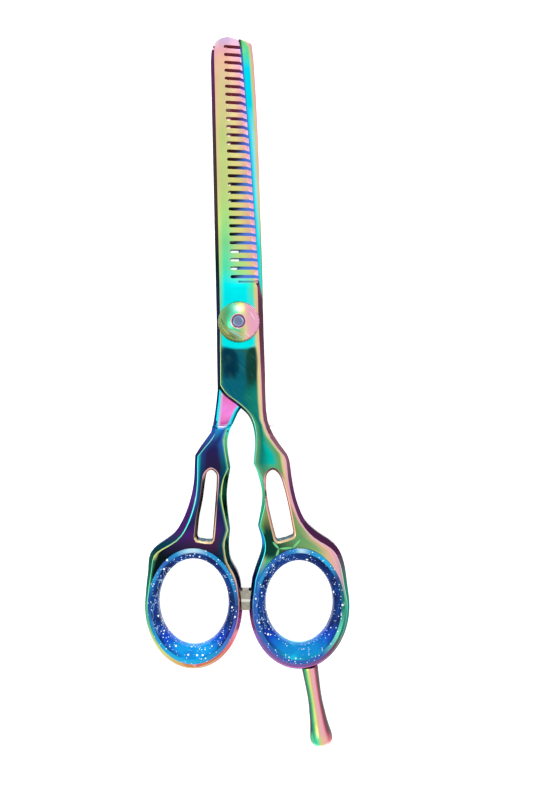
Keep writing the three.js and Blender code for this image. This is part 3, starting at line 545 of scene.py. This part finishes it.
def dial_finish():
    """The dial's film: green on one side, pink on the other, and painted shade in the notches round the
    knurled rim.
    """
    g = Graph("dial_film")
    radius = g.length(g.x, g.y)
    lean = g.math("ADD", g.x, g.math("MULTIPLY", g.y, 0.1))
    lean = g.math("ADD", lean, g.math("SUBTRACT", g.noise(260.0), 0.5))
    colour = g.ramp(lean, [(-5.4, "olive"), (-4.4, "fern"), (-3.4, "moss"), (-2.4, "jade"),
                           (-1.0, "turquoise"), (0.5, "pear"), (1.7, "wheat"), (2.3, "blush"), (3.6, "pink"),
                           (5.4, "pink")])
    lower = g.math("MULTIPLY", g.step(g.y, -0.3, -3.0), g.step(g.x, 2.4, -1.0))
    colour = g.mix(g.math("MULTIPLY", lower, 0.85), colour, "olive")
    foot = g.math("MULTIPLY", g.step(g.y, -2.0, -4.4), g.step(g.x, 0.6, 2.6))
    colour = g.mix(foot, colour, "blush")
    ring = g.math("MULTIPLY", g.step(radius, 3.4, 2.4), g.step(g.x, 2.2, -1.6))
    colour = g.mix(g.math("MULTIPLY", ring, 0.7), colour, "mint")
    for start, end, name in DIAL_STREAKS:
        colour = g.mix(g.math("MULTIPLY", g.line(start, end, 0.26), 0.5), colour, name)
    colour = g.mix(g.step(radius, 2.06, 1.9), colour, "rose")
    # Painted shade: dark dashes in the knurl's notches round the rim
    turn = g.math("ARCTAN2", g.y, g.x)
    notch = g.step(g.math("COSINE", g.math("MULTIPLY", turn, DIAL_KNURLS)), -0.1, 0.4)
    colour = g.mix(g.math("MULTIPLY", notch, g.step(radius, 4.9, 4.98)), colour, "soot")
    curls = g.noise(900.0, 2.0, (1.0, 0.25, 1.0), 0.5, 0.9)
    g.bump(g.math("ADD", curls, g.noise(1800.0)), 0.1, 0.00006)
    return g.finish(**{"Base Color": colour, "Metallic": 1.0,
                       "Roughness": g.step(g.noise(500.0), 0.3, 0.7, 0.2, 0.32)})


# The finger rest's colours, from the side that faces left (-1) to the side that faces right (1): painted
# reflections, with a highlight in the lime and lemon stripes and dark at both edges
REST_STALK = [(-1, "soot"), (-0.82, "spruce"), (-0.6, "jade"), (-0.45, "lime"), (-0.28, "lemon"),
              (-0.1, "salmon"), (0.08, "blush"), (0.36, "pink"), (0.52, "coral"), (0.66, "mauve"),
              (0.85, "charcoal"), (1, "soot")]
REST_FOOT = [(-1, "pine"), (-0.7, "jade"), (-0.4, "mint"), (-0.15, "pear"), (0.1, "peach"), (0.4, "blush"),
             (0.66, "coral"), (0.85, "mauve"), (1, "charcoal")]


def rest_finish(axis_angle):
    """Stripes along the finger rest, one colour for each way that its round side faces: painted reflections
    and a painted highlight.
    """
    g = Graph("rest_film")
    made = g.node("ShaderNodeVectorMath", operation="DOT_PRODUCT")
    g.feed(made.inputs[0], g.normal)
    g.feed(made.inputs[1], (math.cos(axis_angle), math.sin(axis_angle), 0.0))
    waver = g.math("MULTIPLY", g.math("SUBTRACT", g.noise(200.0), 0.5), 0.1)
    # Colour by facing: a painted highlight left of the middle, painted dark reflections at the edges
    turn = g.math("ADD", made.outputs["Value"], waver)
    colour = g.mix(g.step(g.y, -106.0, -108.6), g.ramp(turn, REST_STALK), g.ramp(turn, REST_FOOT))
    g.bump(g.noise(1600.0, 2.0, (1.0, 0.2, 1.0)), 0.08, 0.00005)
    return g.finish(**{"Base Color": colour, "Metallic": 1.0,
                       "Roughness": g.step(g.noise(500.0), 0.3, 0.7, 0.16, 0.28)})


GLITTER_DEEP, GLITTER_BLUE = (0.001, 0.012, 0.1, 1.0), (0.002, 0.05, 0.28, 1.0)
GLITTER_ROYAL = (0.0, 0.05, 0.55, 1.0)
GLITTER_FLAKE = (0.8, 0.93, 1.0, 1.0)
# Painted reflections round the inserts' lips, lightest at the top, by degrees from the right
THUMB_LIP = [(-180, "cobalt"), (-150, "azure"), (-120, "lake"), (-90, "lake"), (-60, "azure"),
             (-30, "periwinkle"), (0, "navy"), (25, "azure"), (70, "azure"), (86, "frost"), (95, "frost"),
             (112, "azure"), (130, "blue"), (150, "azure"), (170, "cobalt"), (180, "cobalt")]
FINGER_LIP = [(-180, "blue"), (-150, "blue"), (-90, "blue"), (-60, "blue"), (-30, "turquoise"),
              (0, "bottle"), (30, "navy"), (50, "lake"), (75, "azure"), (88, "frost"), (96, "azure"),
              (110, "blue"), (130, "blue"), (150, "azure"), (165, "blue"), (180, "blue")]


def insert_finish(name, centre, lip_reflections, bowl_highlight):
    """Glossy blue elastomer with white and silver glitter set in it, a lip painted lighter as a reflection,
    painted light on its lower wall and a faint painted sparkle on the flakes.
    """
    g = Graph(name)
    along_x = g.math("DIVIDE", g.math("SUBTRACT", g.x, centre.x / MM), INSERT_FLANGE[0] / MM)
    along_y = g.math("DIVIDE", g.math("SUBTRACT", g.y, centre.y / MM), INSERT_FLANGE[1] / MM)
    radius = g.length(along_x, along_y)
    body = g.mix(g.step(g.noise(240.0, 3.0), 0.35, 0.65), GLITTER_DEEP, GLITTER_BLUE)
    # Painted light: the lower inner wall is a brighter royal blue
    lower = g.math("MULTIPLY", g.step(along_y, -0.25, -0.6), g.step(radius, 0.93, 0.84))
    body = g.mix(lower, body, GLITTER_ROYAL)
    # Painted highlight in the bowl of the lower wall, broken into patches
    bowl = g.math("MULTIPLY", g.step(along_y, -0.4, -0.72), g.step(g.math("ABSOLUTE", along_x), 0.75, 0.3))
    patches = g.step(g.noise(150.0, 2.0), 0.4, 0.6, 0.4, 1.0)
    body = g.mix(g.math("MULTIPLY", bowl, patches), body, bowl_highlight)
    streaks = g.math("SUBTRACT", g.noise(190.0, 3.0, (1.6, 0.8, 1.0)), 0.5)
    streaks = g.step(g.math("ABSOLUTE", streaks), 0.014, 0.004)
    streaks = g.math("MULTIPLY", streaks, g.step(along_y, -0.55, -0.4))
    body = g.mix(g.math("MULTIPLY", streaks, g.step(along_x, 0.1, -0.5, 0.0, 0.6)), body, "frost")
    turn = g.math("MULTIPLY", g.math("ARCTAN2", along_y, along_x), 180 / math.pi)
    # Painted reflection on the lip, by its angle round the ring
    body = g.mix(g.step(radius, 0.915, 0.93), body, g.ramp(turn, lip_reflections))
    colour, sparkle = body, 0.0
    for scale, least in ((2300.0, 0.66), (1300.0, 0.86)):
        flakes = g.node("ShaderNodeTexVoronoi", feature="F1")
        g.feed(flakes.inputs["Vector"], g.place)
        flakes.inputs["Scale"].default_value = scale
        kind = g.split(flakes.outputs["Color"])
        near = g.math("LESS_THAN", flakes.outputs["Distance"], g.math("MULTIPLY", kind[0], 0.4))
        glint = g.math("MULTIPLY", near, g.math("GREATER_THAN", kind[1], least))
        colour = g.mix(glint, colour, GLITTER_FLAKE)
        sparkle = g.math("ADD", glint, sparkle)
    g.bump(g.math("ADD", g.noise(300.0), sparkle), 0.15, 0.00005)
    g.finish(**{"Base Color": colour, "Roughness": g.step(g.noise(700.0), 0.3, 0.7, 0.22, 0.34),
                "Specular IOR Level": 0.1, "Coat Weight": 0.12, "Coat Roughness": 0.06, "IOR": 1.4})
    # The flakes also glow a little: painted sparkle
    return g.finish(**{"Emission Color": colour, "Emission Strength": g.math("MULTIPLY", sparkle, 0.3)})


BUMPER_Y = -72.3  # the bumper's middle


def bumper_finish():
    """Cloudy translucent silicone, with dust on it and a painted highlight band across its middle."""
    g = Graph("bumper_silicone")
    cloud = g.mix(g.noise(700.0, 4.0), (0.2, 0.19, 0.13, 1.0), (0.5, 0.49, 0.4, 1.0))
    # Painted highlight: a pale band across the bumper's middle
    middle = g.step(g.math("ABSOLUTE", g.math("SUBTRACT", g.y, BUMPER_Y)), 0.5, 0.2)
    cloud = g.mix(middle, cloud, (0.75, 0.75, 0.68, 1.0))
    g.bump(g.noise(2500.0, 4.0), 0.25, 0.00008)
    return g.finish(**{"Base Color": cloud, "Roughness": g.step(g.noise(1200.0), 0.3, 0.7, 0.28, 0.5),
                       "Subsurface Weight": 0.3, "Subsurface Scale": 0.001, "IOR": 1.43})


def turned_metal(name, dark, light, roughness, ring_scale):
    """Lathe-turned metal: fine rings about the pivot's axis."""
    g = Graph(name)
    x, y, _ = g.split(g.place)
    radius = g.length(x, y)
    rings = g.math("SINE", g.math("MULTIPLY", radius, ring_scale))
    colour = g.mix(g.noise(700.0), (*dark, 1.0), (*light, 1.0))
    g.bump(g.math("ADD", rings, g.noise(1500.0)), 0.12, 0.00004)
    return g.finish(**{"Base Color": colour, "Metallic": 1.0,
                       "Roughness": g.step(g.noise(900.0), 0.3, 0.7, roughness, roughness + 0.14)})


def glide_finish():
    g = Graph("glide_plastic")
    colour = g.mix(g.noise(600.0), (0.7, 0.7, 0.66, 1.0), (0.82, 0.82, 0.79, 1.0))
    g.bump(g.noise(2000.0), 0.1, 0.00005)
    return g.finish(**{"Base Color": colour, "Roughness": g.step(g.noise(800.0), 0.3, 0.7, 0.4, 0.55)})


# Pieces

def take(name, node, materials, mesh):
    """Puts a detailed mesh in the scene in place of a CAD node."""
    piece = bpy.data.objects.new(name, mesh)
    bpy.context.scene.collection.objects.link(piece)
    mesh.materials.clear()
    for material in materials:
        mesh.materials.append(material)
    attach(piece, BODY_OF[node])
    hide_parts(node)
    return piece


def smooth(mesh, degrees):
    """Shades a mesh smoothly, except over edges sharper than an angle."""
    mesh.polygons.foreach_set("use_smooth", [True] * len(mesh.polygons))
    mesh.set_sharp_from_angle(angle=math.radians(degrees))


def eased_copy(node, sharp_degrees, ease):
    """A CAD node's mesh with its flat faces made whole, and a weight for easing each sharp edge."""
    work = bmesh.new()
    work.from_mesh(nodes[node].data)
    bmesh.ops.remove_doubles(work, verts=work.verts, dist=1.2e-5)
    bmesh.ops.dissolve_limit(work, angle_limit=math.radians(0.5), verts=work.verts, edges=work.edges)
    weights = work.edges.layers.float.new("bevel_weight_edge")
    for edge in work.edges:
        if len(edge.link_faces) == 2 and edge.calc_face_angle(0.0) > math.radians(sharp_degrees):
            level = max(abs(face.normal.z) for face in edge.link_faces) > FLAT
            edge[weights] = ease((edge.verts[0].co + edge.verts[1].co) / 2, level)
    mesh = bpy.data.meshes.new(node + "_eased")
    work.to_mesh(mesh)
    work.free()
    return mesh


RIDGE = 2  # material index of the strips that round the edges
FLAT = 0.93  # upright share of a normal above which a face counts as flat


def round_edges(piece, radius, strip=-1):
    bevel = piece.modifiers.new("round", "BEVEL")
    bevel.width = radius
    bevel.segments = 3
    bevel.limit_method = "WEIGHT"
    bevel.use_clamp_overlap = False
    bevel.harden_normals = True
    bevel.material = strip
    depsgraph = bpy.context.evaluated_depsgraph_get()
    piece.data = bpy.data.meshes.new_from_object(piece.evaluated_get(depsgraph))
    piece.modifiers.clear()


# Top and foot of each window's middle line, in millimetres: of the half with teeth and of the other
WINDOW_AXES = {True: ((9.1, -38.0), (12.2, -56.6)), False: ((-7.4, -38.0), (-8.9, -57.0))}
WINDOW_HALF = (2.4, 10.0)  # half its width and half its length
WINDOW_REACH = (3.4, 0.08)  # how far from the middle line, and past its ends as a share, its polygons lie


def in_window(place, normal, axis):
    """Whether a polygon that isn't flat belongs to a handle's window: those face its middle line."""
    (top_x, top_y), (foot_x, foot_y) = axis
    down = (place.y / MM - top_y) / (foot_y - top_y)
    if not -WINDOW_REACH[1] < down < 1.0 + WINDOW_REACH[1]:
        return False
    off_x = place.x / MM - (top_x + (foot_x - top_x) * down)
    off_y = place.y / MM - (top_y + foot_y) / 2
    faces_middle = off_x / WINDOW_HALF[0] * normal.x + off_y / WINDOW_HALF[1] * normal.y < 0
    return abs(off_x) < WINDOW_REACH[0] and faces_middle


SLOT_WALLS_Y, BLADE_EDGES_Y = 10.6, 8.7  # where the comb's slots and the plain blade's bevels start
LAP_STEP = ((-8.0, -2.0), (-28.6, -24.0))  # where the lap's step lies, across and along


def paint_half(mesh, toothed):
    """Sorts a half's polygons over its materials: face, sides, ridges, window rim and walls, slots."""
    for face in mesh.polygons:
        place, normal = face.center, face.normal
        x, y, nz = place.x / MM, place.y / MM, normal.z
        on_step = LAP_STEP[0][0] < x < LAP_STEP[0][1] and LAP_STEP[1][0] < y < LAP_STEP[1][1]
        if abs(nz) > FLAT and face.material_index != RIDGE:
            continue
        if in_window(place, normal, WINDOW_AXES[toothed]):
            face.material_index = 3 if nz > 0.3 else 4
        elif toothed and y > SLOT_WALLS_Y and abs(normal.y) > 0.5 and abs(nz) < 0.5:
            face.material_index = 5
        elif toothed and y > SLOT_WALLS_Y and nz > 0.3 and (normal.x > 0.2 or abs(normal.y) > 0.2):
            face.material_index = 0
        elif not toothed and nz > 0.3 and y > BLADE_EDGES_Y:
            face.material_index = 0
        elif not toothed and nz > 0.02 and normal.y > 0.2 and on_step:
            face.material_index = 0
        elif face.material_index != RIDGE or nz < 0.8:
            face.material_index = 1


SHARP_Y = (-0.0292, -0.0262)  # between these, left of the middle, the lap's step keeps a sharp edge
BLADES_Y = -0.012  # above this, edges are eased only a little


def half_ease(place, level):
    """How much of the full rounding an edge gets: most round the handles' faces, none at the lap's step."""
    if not level or (SHARP_Y[0] < place.y < SHARP_Y[1] and place.x < 0.0):
        return 0.0
    return 0.2 if place.y > BLADES_Y else 1.0


def half(node, materials, toothed):
    mesh = eased_copy(node, 18.0, half_ease)
    smooth(mesh, 18.0)
    piece = take(node + "_polished", node, materials, mesh)
    round_edges(piece, 0.00017, RIDGE)
    paint_half(piece.data, toothed)
    return piece


def band(name, loops, closed_profile):
    """A mesh through closed loops of points. A closed profile joins the last loop to the first."""
    count = len(loops[0])
    points = [point for loop in loops for point in loop]
    faces = []
    for level in range(len(loops) if closed_profile else len(loops) - 1):
        low, high = level * count, ((level + 1) % len(loops)) * count
        faces += [(low + i, low + (i + 1) % count, high + (i + 1) % count, high + i) for i in range(count)]
    if not closed_profile:
        faces.append(tuple(reversed(range(count))))
        faces.append(tuple(range((len(loops) - 1) * count, len(loops) * count)))
    mesh = bpy.data.meshes.new(name)
    mesh.from_pydata(points, [], faces)
    work = bmesh.new()
    work.from_mesh(mesh)
    bmesh.ops.recalc_face_normals(work, faces=work.faces)
    work.to_mesh(mesh)
    work.free()
    return mesh


# The ring inserts, as the frame has them

_insert_low, _insert_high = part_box("finger_ring_insert")
INSERT_FLANGE = ((_insert_high.x - _insert_low.x) / 2, (_insert_high.y - _insert_low.y) / 2)
INSERT_HEIGHT = _insert_high.z - _insert_low.z
OPENINGS = {"finger_ring_insert": (8.75 * MM, 10.85 * MM), "thumb_ring_insert": (9.05 * MM, 11.35 * MM)}
OPENING_RISE = 0.6 * MM
INSERT_STEPS = 144


def insert_profile():
    """(share of the way from the flange's edge to the opening, height) pairs round the section."""
    flange = 0.5 * MM
    lip = [(0.0, flange), (0.0, 0.32 * MM), (0.03, 0.14 * MM), (0.1, 0.02 * MM), (0.2, 0.0), (0.3, 0.03 * MM),
           (0.335, 0.13 * MM), (0.35, 0.3 * MM), (0.38, 0.33 * MM)]
    wall = [(0.38 + 0.59 * math.sin(a), (2.25 - 1.92 * math.cos(a)) * MM)
            for a in (math.pi / 2 * i / 12 for i in range(1, 13))]
    lower = lip + wall
    middle = [(0.995, INSERT_HEIGHT * 0.42), (1.0, INSERT_HEIGHT / 2), (0.995, INSERT_HEIGHT * 0.58)]
    upper = [(share, INSERT_HEIGHT - height) for share, height in reversed(lower)]
    groove = 0.53
    return lower + middle + upper + [(groove, INSERT_HEIGHT - flange), (groove, flange)]


def ring_insert(node, seam_degrees, lip_reflections, bowl_highlight):
    """A soft lining: a rolled lip, a small step and a rounded wall, with the mould's seam across the lip."""
    low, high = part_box(node)
    centre = (low + high) / 2
    opening = OPENINGS[node]
    loops = []
    for share, height in insert_profile():
        a = INSERT_FLANGE[0] + (opening[0] - INSERT_FLANGE[0]) * share
        b = INSERT_FLANGE[1] + (opening[1] - INSERT_FLANGE[1]) * share
        loop = []
        for i in range(INSERT_STEPS):
            angle = 2 * math.pi * i / INSERT_STEPS
            apart = abs((math.degrees(angle) - seam_degrees + 180) % 360 - 180)
            dent = 0.16 * MM * math.exp(-((apart / 1.6) ** 2)) if share < 0.52 else 0.0
            inward = dent if height > centre.z else -dent
            level = height - (inward if 0.0 < share else 0.0)
            y = centre.y + OPENING_RISE * share + b * math.sin(angle)
            loop.append((centre.x + a * math.cos(angle), y, low.z + level))
        loops.append(loop)
    mesh = band(node + "_moulded", loops, True)
    smooth(mesh, 50.0)
    glitter = insert_finish(node + "_glitter", centre, lip_reflections, bowl_highlight)
    return take(node + "_moulded", node, [glitter], mesh)


def dial():
    """A domed thumb dial with a knurled rim, hollow underneath, and a bright chamfer round its bore."""
    low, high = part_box("tension_dial")
    rim_radius = (high.x - low.x) / 2
    count = DIAL_KNURLS * 4
    dome_height, top = 2.2 * MM, 9.3 * MM
    rim_z = top - dome_height
    bore = 1.62 * MM

    def loop(radius, z, ripple=0.0):
        points = []
        for i in range(count):
            angle = 2 * math.pi * i / count
            r = radius - ripple * (0.5 + 0.5 * math.cos(DIAL_KNURLS * angle))
            points.append((r * math.cos(angle), r * math.sin(angle), z))
        return points

    def dome(radius):
        return top - dome_height * (radius / rim_radius) ** 2

    ripple = 0.22 * MM
    roof, hollow = 7.5 * MM, 4.0 * MM  # of the hollow underneath
    loops = [loop(hollow, roof),
             loop(hollow, low.z),
             loop(rim_radius - 0.3 * MM, low.z),
             loop(rim_radius - 0.08 * MM, low.z + 0.12 * MM, ripple),
             loop(rim_radius, low.z + 0.25 * MM, ripple),
             loop(rim_radius, rim_z - 0.2 * MM, ripple),
             loop(rim_radius - 0.03 * MM, rim_z - 0.05 * MM, ripple),
             loop(rim_radius - 0.16 * MM, rim_z + 0.05 * MM, ripple * 1.2)]
    outer, inner = rim_radius - 0.44 * MM, 1.95 * MM
    loops += [loop(r, dome(r)) for r in (outer + (inner - outer) * i / 11 for i in range(12))]
    lip_top = dome(inner)
    loops += [loop(1.9 * MM, lip_top + 0.02 * MM),
              loop(1.84 * MM, lip_top),
              loop(bore + 0.03 * MM, lip_top - 0.2 * MM),
              loop(bore, lip_top - 0.3 * MM),
              loop(bore, roof)]
    mesh = band("tension_dial_turned", loops, True)
    smooth(mesh, 40.0)
    return take("tension_dial_turned", "tension_dial", [dial_finish()], mesh)


# Places along the finger rest from its seat, and its radius there, in millimetres
REST_STATIONS = [(-2.6, 0.0), (-2.6, 0.86), (-2.45, 0.9), (-0.75, 0.9), (-0.7, 2.1), (-0.3, 2.17),
                 (0.0, 2.15), (1.5, 2.09), (3.0, 2.02), (4.5, 1.94), (6.0, 1.88), (7.3, 1.86), (8.5, 1.89),
                 (9.8, 1.97), (11.0, 2.08), (12.4, 2.19), (13.8, 2.33), (15.1, 2.52), (16.3, 2.75),
                 (17.2, 2.91), (17.8, 2.98), (18.3, 2.98), (18.8, 2.88), (19.3, 2.6), (19.7, 2.2),
                 (20.0, 1.6), (20.16, 0.9), (20.2, 0.0)]


def finger_rest():
    """The waisted stalk, turned smoothly, with a collar bead where it meets the ring."""
    seat = Vector((18.62, -90.75, 0.0)) * MM
    seat.z = MID_Z
    lean = math.radians(9.3)
    axis = Vector((math.sin(lean), -math.cos(lean), 0.0))
    side = Vector((math.cos(lean), math.sin(lean), 0.0))
    up = Vector((0.0, 0.0, 1.0))
    count = 48
    loops = []
    for along, radius in REST_STATIONS:
        centre = seat + axis * along * MM
        r = max(radius, 0.001) * MM
        loops.append([tuple(centre + (side * math.cos(t) + up * math.sin(t)) * r)
                      for t in (2 * math.pi * i / count for i in range(count))])
    mesh = band("finger_rest_turned", loops, False)
    smooth(mesh, 45.0)
    return take("finger_rest_turned", "finger_rest", [rest_finish(lean)], mesh)


def bumper():
    mesh = eased_copy("bumper", 35.0, lambda place, level: 1.0)
    smooth(mesh, 30.0)
    round_edges(take("bumper_moulded", "bumper", [bumper_finish()], mesh), 0.00022)


def small_part(node, material, radius):
    mesh = eased_copy(node, 35.0, lambda place, level: 1.0)
    smooth(mesh, 30.0)
    round_edges(take(node + "_made", node, [material], mesh), radius)


# Radius of the stud's crown and height from its top, in millimetres
STUD_STATIONS = [(1.2, -0.7), (1.5, -0.6), (1.52, -0.2), (1.46, -0.06), (1.3, 0.0), (1.12, -0.03),
                 (0.98, -0.12), (0.5, -0.12), (0.3, -0.2), (0.001, -0.22)]


def stud_crown():
    """The peened end of the pivot's stud, in the dial's bore."""
    top = 8.86 * MM
    loops = []
    for radius, drop in STUD_STATIONS:
        loops.append([(radius * MM * math.cos(t), radius * MM * math.sin(t), top + drop * MM)
                      for t in (2 * math.pi * i / 48 for i in range(48))])
    mesh = band("stud_crown", loops, False)
    smooth(mesh, 40.0)
    piece = bpy.data.objects.new("stud_crown", mesh)
    bpy.context.scene.collection.objects.link(piece)
    mesh.materials.append(turned_metal("stud_steel", (0.16, 0.2, 0.38), (0.42, 0.42, 0.62), 0.16, 26000.0))
    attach(piece, BODY_OF["pivot_bolt"])


COMB_RIM = [(-38, "mauve"), (-41, "blush"), (-54, "salmon"), (-56.4, "sand")]
PLAIN_RIM = [(-38, "blush"), (-47, "mauve"), (-53, "salmon"), (-56, "sand")]

# The parts inside the pivot: colours from dark to light, roughness, how close the turning rings are, easing
TURNED_PARTS = {
    "pivot_bolt": ("bolt_steel", (0.1, 0.14, 0.28), (0.28, 0.34, 0.5), 0.18, 26000.0, 8e-5),
    "pivot_bushing": ("bush_brass", (0.5, 0.33, 0.11), (0.66, 0.47, 0.2), 0.3, 20000.0, 5e-5),
    "spring_washer": ("spring_steel", (0.4, 0.4, 0.42), (0.6, 0.6, 0.62), 0.24, 20000.0, 3e-5),
    "click_washer": ("click_steel", (0.36, 0.36, 0.38), (0.55, 0.55, 0.57), 0.26, 20000.0, 4e-5),
}


def make_object():
    comb = [comb_face(),
            sides("comb_sides", *COMB_SIDES),
            sides("comb_ridges", *COMB_RIDGES, 0.08, 0.16),
            window_rim("comb_rim", COMB_RIM, 0.1),
            window_walls("comb_window"),
            slot_walls()]
    plain = [plain_face(),
             sides("plain_sides", *PLAIN_SIDES),
             sides("plain_ridges", *PLAIN_RIDGES, 0.08, 0.16),
             window_rim("plain_rim", PLAIN_RIM, 0.9),
             window_walls("plain_window")]
    half("comb_half", comb, True)
    half("plain_half", plain, False)
    ring_insert("thumb_ring_insert", 166.0, THUMB_LIP, (0.0, 0.36, 0.85, 1.0))
    ring_insert("finger_ring_insert", 184.0, FINGER_LIP, (0.0, 0.56, 0.78, 1.0))
    dial()
    finger_rest()
    bumper()
    stud_crown()
    for node, (*finish, easing) in TURNED_PARTS.items():
        small_part(node, turned_metal(*finish), easing)
    small_part("glide_washer", glide_finish(), 5e-5)


# Stage

VIEW_HEIGHT = 210 * MM  # the view's height, measured at the level of the shears' middle
CAMERA_RISE = 209 * MM  # camera above that level
CAMERA_X, CAMERA_Y = 7.18 * MM, -20.2 * MM


def camera():
    made = bpy.data.objects.new("camera", bpy.data.cameras.new("camera"))
    made.data.sensor_width = 36.0
    made.data.lens = CAMERA_RISE / VIEW_HEIGHT * made.data.sensor_width
    made.location = (CAMERA_X, CAMERA_Y, MID_Z + CAMERA_RISE)
    made.data.clip_start = 0.005
    bpy.context.scene.collection.objects.link(made)
    bpy.context.scene.camera = made


def area_light(name, place, target, size, power, colour=(1.0, 1.0, 1.0)):
    data = bpy.data.lights.new(name, "AREA")
    data.shape = "RECTANGLE"
    data.size, data.size_y = size
    data.energy = power
    data.color = colour
    made = bpy.data.objects.new(name, data)
    made.location = place
    made.rotation_euler = (Vector(target) - Vector(place)).to_track_quat("-Z", "Y").to_euler()
    bpy.context.scene.collection.objects.link(made)


TABLE_CORNERS = [(-1.5, -1.5), (1.5, -1.5), (1.5, 1.5), (-1.5, 1.5)]


def floor():
    g = Graph("table_top")
    colour = g.mix(g.noise(60.0, 6.0), (0.88, 0.88, 0.88, 1.0), (0.92, 0.92, 0.92, 1.0))
    g.bump(g.noise(900.0, 4.0), 0.05, 0.0002)
    g.finish(**{"Base Color": colour, "Roughness": g.step(g.noise(200.0), 0.3, 0.7, 0.55, 0.7),
                "Emission Color": (1.0, 1.0, 1.0, 1.0), "Emission Strength": 0.8})
    mesh = bpy.data.meshes.new("table")
    mesh.from_pydata([(x, y, FLOOR_Z) for x, y in TABLE_CORNERS], [], [(0, 1, 2, 3)])
    mesh.materials.append(g.material)
    made = bpy.data.objects.new("table", mesh)
    bpy.context.scene.collection.objects.link(made)


def surroundings():
    """A bright even room."""
    world = bpy.data.worlds.new("studio")
    world.use_nodes = True
    tree = world.node_tree
    background = tree.nodes["Background"]
    background.inputs["Color"].default_value = (1.0, 1.0, 1.0, 1.0)
    background.inputs["Strength"].default_value = 0.95
    bpy.context.scene.world = world


camera()
surroundings()
area_light("key", (0.0, 0.46, 0.29), (0.0, 0.0, 0.0), (0.14, 0.1), 0.5)
area_light("fill", (-0.36, -0.1, 0.5), (0.0, -0.02, 0.0), (0.24, 0.24), 0.3)
floor()
make_object()
bpy.context.scene.view_settings.view_transform = "Standard"
